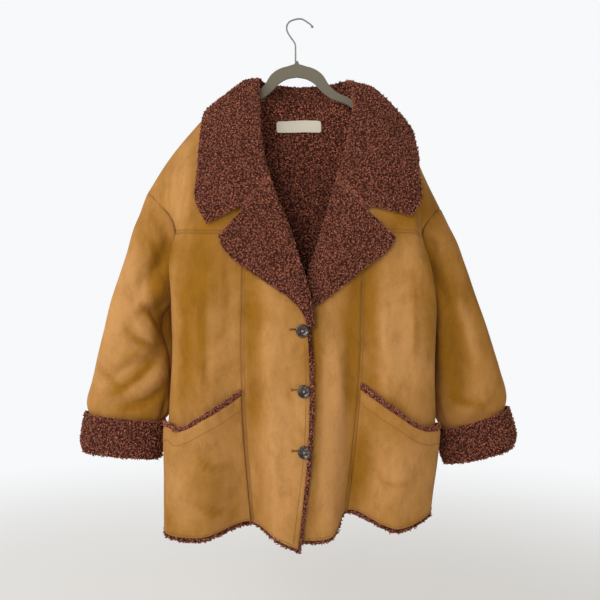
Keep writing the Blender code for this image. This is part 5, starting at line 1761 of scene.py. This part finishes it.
class COAT_OT_stitching(bpy.types.Operator):
    """Sews the topstitched seams, edges and buttonholes"""

    bl_idname = "coat.stitching"
    bl_label = "Coat Stitching"

    def execute(self, context):
        coat, looks = cloth(), finishes()
        pitch = size("stitch_pitch")
        seams = (-SEAM_TO_STITCH, SEAM_TO_STITCH)
        rows = []
        for side, surface in coat.fronts.items():
            for offset in seams:
                rows.append(line_on(surface, PANEL_SEAM, np.linspace(0.06, YOKE_SEAM, 90), offset, FRONT_CREASES))
                rows.append(line_on(surface, np.linspace(0.15, 4.85, 60), YOKE_SEAM, offset, FRONT_CREASES))
            rows.append(line_on(surface, np.linspace(3.05, 4.86, 40), 0.0, HEM_TO_STITCH, FRONT_CREASES))
            back = coat.backs[side]
            rows.append(line_on(back, np.linspace(0.1, 4.99, 60), 0.0, HEM_TO_STITCH))
            rows += [line_on(back, np.linspace(0.15, 4.99, 60), YOKE_SEAM, offset) for offset in seams]
            rows += lines_on_pocket(side, surface)
        rows.append(line_on(coat.left, FRONT_EDGE, np.linspace(0.06, 2.15, 70), -EDGE_TO_STITCH, FRONT_CREASES))
        for level, offset in ((0.0, HEM_TO_STITCH), (YOKE_SEAM, SEAM_TO_STITCH), (YOKE_SEAM, -SEAM_TO_STITCH)):
            rows.append(line_on(coat.back_middle, np.linspace(0.01, 3.99, 50), level, offset))
        made = [strands("topstitching", *stitched(line, ways, pitch, 0.76 * pitch), STITCH_RADIUS, looks["thread"])
                for line, ways in rows]
        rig.slot(join("topstitching", made), "suede")
        for number, (x, z) in enumerate(BUTTONS, start=1):
            self.buttonhole(number, coat.left, x, z, looks)
        return {"FINISHED"}

    def buttonhole(self, number, surface, x, z, looks):
        """A keyhole buttonhole that runs to the left from under a button, worked round with thread."""
        ends = []
        for reach in (6.0, BUTTONHOLE):
            station, level = surface.locate(x - reach, z + 3.0, 4.6, 2.5)
            normal = surface.normal(station, level)
            point = surface.point(station, level)
            ends.append(point + (float(hung(point[None], normal[None], FRONT_CREASES, ())[0]) + 0.2) * normal)
        along, normal = unit(ends[1] - ends[0]), surface.normal(station, level)
        up = np.cross(normal, along)
        # A dark strand along the slit: painted shade in the buttonhole's opening.
        slit = strands(f"buttonhole_{number}_slit", [ends[0]], [ends[1]], [normal], 0.55, looks["slit"], rise=0.1)
        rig.slot(slit, "suede")
        starts, stops = [], []
        long = float(np.linalg.norm(ends[1] - ends[0]))
        for k in range(int(long / HOLE_STITCH)):
            for flank in (-1, 1):
                at = ends[0] + HOLE_STITCH * k * along
                starts.append(at + 0.5 * flank * up)
                stops.append(at + 2.1 * flank * up)
        for k in range(5):
            at = ends[1] + (k - 2) * HOLE_STITCH * along
            starts.append(at + 3.4 * up)
            stops.append(at - 3.4 * up)
        worked = strands(f"buttonhole_{number}_thread", starts, stops, [normal] * len(starts), 0.42,
                         looks["thread"], 0.4)
        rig.slot(worked, "suede")


class COAT_OT_buttons(bpy.types.Operator):
    """Makes the four-hole horn buttons and their thread"""

    bl_idname = "coat.buttons"
    bl_label = "Coat Buttons"

    def execute(self, context):
        surface, looks = cloth().left, finishes()
        for number, (x, z) in enumerate(BUTTONS, start=1):
            station, level = surface.locate(x, z, 4.6, 2.5)
            normal = Vector(surface.normal(station, level))
            seat = Vector(surface.point(station, level)) + BUTTON_LIFT * normal
            place = Matrix.Translation(seat * MM) @ normal.to_track_quat("Z", "Y").to_matrix().to_4x4()
            button = self.turned(f"button_{number}", looks["horn"])
            button.data.transform(place)
            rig.ride(button, "root")
            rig.replaces(button, f"button_{number}")
            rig.slot(button, "horn")
            half, top = BUTTON_HOLE_SPREAD / 2, BUTTON_THICK * 0.6
            corners = [np.array(place @ (Vector((a * half, b * half, top)) * MM)) / MM for a, b in
                       ((-1, -1), (1, 1), (-1, 1), (1, -1), (-0.82, -1), (1, 0.82), (-1, 0.82), (0.82, -1))]
            ways = [np.array(normal)] * 4
            thread = strands(f"button_{number}_thread", corners[0::2], corners[1::2], ways, 0.55,
                             looks["button_thread"], rise=0.7)
            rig.slot(thread, "horn")
        return {"FINISHED"}

    def turned(self, name, horn):
        """A button with a raised rim, turned on a lathe and drilled."""
        mesh = bmesh.new()
        points = [mesh.verts.new((out * BUTTON_ACROSS / 2 * MM, 0, up * BUTTON_THICK * MM))
                  for out, up in TURNED_PROFILE]
        edges = [mesh.edges.new(pair) for pair in zip(points, points[1:])]
        bmesh.ops.spin(mesh, geom=points + edges, axis=(0, 0, 1), cent=(0, 0, 0), steps=56, angle=2 * math.pi,
                       use_merge=True)
        bmesh.ops.remove_doubles(mesh, verts=mesh.verts, dist=1e-6)
        bmesh.ops.recalc_face_normals(mesh, faces=mesh.faces)
        button = linked(name, mesh_from(name, mesh))
        drill = bmesh.new()
        for across in (-1, 1):
            for up in (-1, 1):
                at = Matrix.Translation((across * BUTTON_HOLE_SPREAD / 2 * MM, up * BUTTON_HOLE_SPREAD / 2 * MM, 0))
                bmesh.ops.create_cone(drill, cap_ends=True, segments=20, radius1=BUTTON_HOLE / 2 * MM,
                                      radius2=BUTTON_HOLE / 2 * MM, depth=4 * BUTTON_THICK * MM, matrix=at)
        tool = linked("drill", mesh_from("drill", drill))
        cut = button.modifiers.new("holes", "BOOLEAN")
        cut.operation, cut.object = "DIFFERENCE", tool
        drilled = worked_out(button, horn, SHARP["button"])
        button.modifiers.clear()
        button.data = drilled
        bpy.data.objects.remove(tool)
        return button


class COAT_OT_label(bpy.types.Operator):
    """Makes the bare neck label"""

    bl_idname = "coat.label"
    bl_label = "Neck Label"

    def execute(self, context):
        middle, looks = cloth().back_middle, finishes()
        across, up = np.linspace(-1, 1, 25), np.linspace(-1, 1, 13)
        half = np.array(LABEL_SIZE) / 2
        face = np.zeros((len(across), len(up), 3))
        normals = np.zeros_like(face)
        look = lambda point: point[[0, 2]]
        for i, a in enumerate(across):
            for j, b in enumerate(up):
                place = np.array((a, b)) * half
                corner = np.abs(place) - (half - LABEL_CORNER)
                if (corner > 0).all():
                    place = np.sign(place) * (half - LABEL_CORNER + corner * LABEL_CORNER / max(
                        np.hypot(*corner), LABEL_CORNER))
                station, level = middle.locate(LABEL_AT[0] + place[0], LABEL_AT[1] + place[1], 2.0, 8.0, look)
                normal = middle.normal(station, level)
                sag = 0.8 * math.sin(2.3 * a + 0.6) * (1 - b) / 2
                face[i, j] = middle.point(station, level) - (CLOTH + LABEL_LIFT + LABEL_THICK + sag) * normal
                normals[i, j] = normal
        made, cut = cloth_shell("label", face, face + LABEL_THICK * normals, [looks["tape"]] * 2, "laid",
                                ["back_yoke"])
        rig.slot(made, "tape")
        rim = np.concatenate((face[:, -2], face[-2, ::-1], face[::-1, 1], face[1]))
        ways = -np.concatenate((normals[:, -2], normals[-2, ::-1], normals[::-1, 1], normals[1]))
        sewing = strands("label_stitches", *stitched(rim + 0.1 * ways, ways, 3.0, 2.2), 0.2, looks["tape"], 0.15)
        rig.slot(sewing, "tape")
        declare(made, cut, sewing)
        return {"FINISHED"}


class COAT_OT_hanger(bpy.types.Operator):
    """Makes the slim flocked hanger and its wire hook"""

    bl_idname = "coat.hanger"
    bl_label = "Hanger"

    def execute(self, context):
        looks = finishes()
        half_width, nub_top = HANGER_NUB
        tops, lows = ([smooth(np.array(edge, float), at) for at in np.linspace(0, len(edge) - 1, 6 * len(edge) - 5)]
                      for edge in (HANGER_TOP, HANGER_BOTTOM))
        right = [*((half_width * share, nub_top + rise) for share, rise in NUB_PROFILE),
                 *[(x, z + 2.5 * math.exp(-((x - 50) / 20) ** 2)) for x, z in tops if x > 2 * half_width], *lows[:0:-1]]
        outline = [*right, (0.0, lows[0][1]), *((-x, z) for x, z in reversed(right))]
        curve = bpy.data.curves.new("hanger_body", "CURVE")
        curve.dimensions, curve.fill_mode = "2D", "BOTH"
        curve.extrude = (HANGER_THICK / 2 - BEVEL) * MM
        curve.bevel_depth, curve.bevel_resolution, curve.offset = BEVEL * MM, 3, -BEVEL * MM
        line = curve.splines.new("POLY")
        line.use_cyclic_u = True
        line.points.add(len(outline) - 1)
        for point, (distance, z) in zip(line.points, outline):
            place = true_place(HANGER_MIDDLE_X + distance, 0, z)
            point.co = (place[0] * MM, place[2] * MM, 0, 1)
        self.finish(curve, "hanger_body", looks["velvet"], "velvet", Matrix.Rotation(math.pi / 2, 4, "X"))
        places = np.array([true_place(x, 0, z) for x, z in HOOK])
        wire = bpy.data.curves.new("hanger_hook", "CURVE")
        wire.dimensions = "3D"
        wire.bevel_depth, wire.bevel_resolution, wire.use_fill_caps = HOOK_WIRE / 2 * MM, 6, True
        line = wire.splines.new("POLY")
        steps = np.linspace(0, len(places) - 1, 8 * len(places))
        line.points.add(len(steps) - 1)
        for point, step in zip(line.points, steps):
            point.co = (*(smooth(places, step) * MM), 1)
        self.finish(wire, "hanger_hook", looks["chrome"], "chrome", Matrix())
        ball = bmesh.new()
        bmesh.ops.create_uvsphere(ball, u_segments=24, v_segments=14, radius=HOOK_BALL * MM,
                                  matrix=Matrix.Translation(Vector(places[-1]) * MM))
        tip = linked("hook_tip", mesh_from("hook_tip", ball, looks["chrome"]))
        tip.data.shade_smooth()
        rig.ride(tip, "root")
        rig.slot(tip, "chrome")
        return {"FINISHED"}

    def finish(self, curve, name, look, slot, turn):
        drawn = linked(name, curve)
        data = worked_out(drawn, look, SHARP["hanger"], turn)
        bpy.data.objects.remove(drawn)
        made = linked(name, data)
        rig.ride(made, "root")
        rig.replaces(made, name)
        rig.slot(made, slot)


class COAT_OT_stage(bpy.types.Operator):
    """Sets the pale floor, the soft lights and the camera"""

    bl_idname = "coat.stage"
    bl_label = "Stage"

    def execute(self, context):
        scene = context.scene
        mesh = bmesh.new()
        bmesh.ops.create_circle(mesh, cap_ends=True, segments=64, radius=9.0,
                                matrix=Matrix.Translation((0, 0, FLOOR_Z)))
        made = [linked("floor", mesh_from("floor", mesh, self.floor_finish()))]
        for name, place, size, power, tint in LIGHTS:
            light = bpy.data.lights.new(name, "AREA")
            light.shape, light.size, light.energy, light.color = "SQUARE", size, power, tint
            lamp = linked(name, light)
            lamp.location = place
            lamp.rotation_euler = (Vector(AIM) - Vector(place)).to_track_quat("-Z", "Y").to_euler()
            made.append(lamp)
        world = bpy.data.worlds.new("pale room")
        world.use_nodes = True
        tree = world.node_tree
        tree.nodes["Background"].inputs["Color"].default_value = (*WORLD_TINT, 1)
        tree.nodes["Background"].inputs["Strength"].default_value = WORLD_STRENGTH
        backdrop = add_node(tree, "Background", Color=(*BACKDROP, 1))
        seen_only = add_node(tree, "MixShader", [
            (add_node(tree, "LightPath").outputs["Is Camera Ray"], 0),
            (tree.nodes["Background"].outputs[0], 1), (backdrop.outputs[0], 2),
        ])
        tree.links.new(seen_only.outputs[0], tree.nodes["World Output"].inputs["Surface"])
        scene.world = world
        camera = linked("camera", bpy.data.cameras.new("camera"))
        camera.data.lens, camera.data.sensor_width = 43.8, 36.0
        camera.location = Vector(SIGHT) * MM
        camera.rotation_euler = (math.pi / 2, 0, 0)
        scene.camera = camera
        scene.view_settings.view_transform = "Standard"
        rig.stage(*made)
        return {"FINISHED"}

    def floor_finish(self):
        """Pale and plain, and as light as the backdrop far away."""
        pale = finish_of("floor", None, (0.9, 0.91, 0.92, 1), Roughness=0.9)
        tree = pale.node_tree
        away = add_node(tree, "VectorMath", [(coordinates(tree), 0)], operation="LENGTH").outputs["Value"]
        fade = ramp(tree, maths(tree, "DIVIDE", away, 2 * FLOOR_FADE), (0.22, 0), (0.5, 1))
        glow = add_node(tree, "Emission", Color=(*BACKDROP, 1))
        mixed = add_node(tree, "MixShader", [
            (fade, 0), (tree.nodes["Principled BSDF"].outputs[0], 1), (glow.outputs[0], 2),
        ])
        tree.links.new(mixed.outputs[0], tree.nodes["Material Output"].inputs["Surface"])
        return pale


class COAT_PT_panel(bpy.types.Panel):
    """The coat's sizes, colours and steps"""

    bl_label = "Suede and Sherpa Coat"
    bl_space_type = "VIEW_3D"
    bl_region_type = "UI"
    bl_category = "Coat"

    def draw(self, context):
        for group in (context.scene.coat_sizes, context.scene.coat_colours):
            box = self.layout.box()
            for name in group.__annotations__:
                box.prop(group, name)
        for step in STEPS:
            self.layout.operator(step.bl_idname)


STEPS = (
    COAT_OT_body, COAT_OT_sleeves, COAT_OT_collar, COAT_OT_cuffs, COAT_OT_pockets, COAT_OT_stitching, COAT_OT_buttons,
    COAT_OT_label, COAT_OT_hanger, COAT_OT_stage,
)
CLASSES = (CoatSizes, CoatColours, *STEPS, COAT_PT_panel)


def register():
    for part in CLASSES:
        bpy.utils.register_class(part)
    bpy.types.Scene.coat_sizes = bpy.props.PointerProperty(type=CoatSizes)
    bpy.types.Scene.coat_colours = bpy.props.PointerProperty(type=CoatColours)


def unregister():
    del bpy.types.Scene.coat_sizes, bpy.types.Scene.coat_colours
    for part in reversed(CLASSES):
        bpy.utils.unregister_class(part)


def main():
    register()
    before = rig.bounds()
    for step in STEPS:
        group, name = step.bl_idname.split(".")
        getattr(getattr(bpy.ops, group), name)()
    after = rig.bounds()
    plain = lambda box: [[float(x) for x in corner] for corner in box]
    with open("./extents.json", "w") as sizes:
        json.dump({"cad": plain(before), "scene": plain(after)}, sizes, indent=1)


if __name__ == "__main__":
    main()
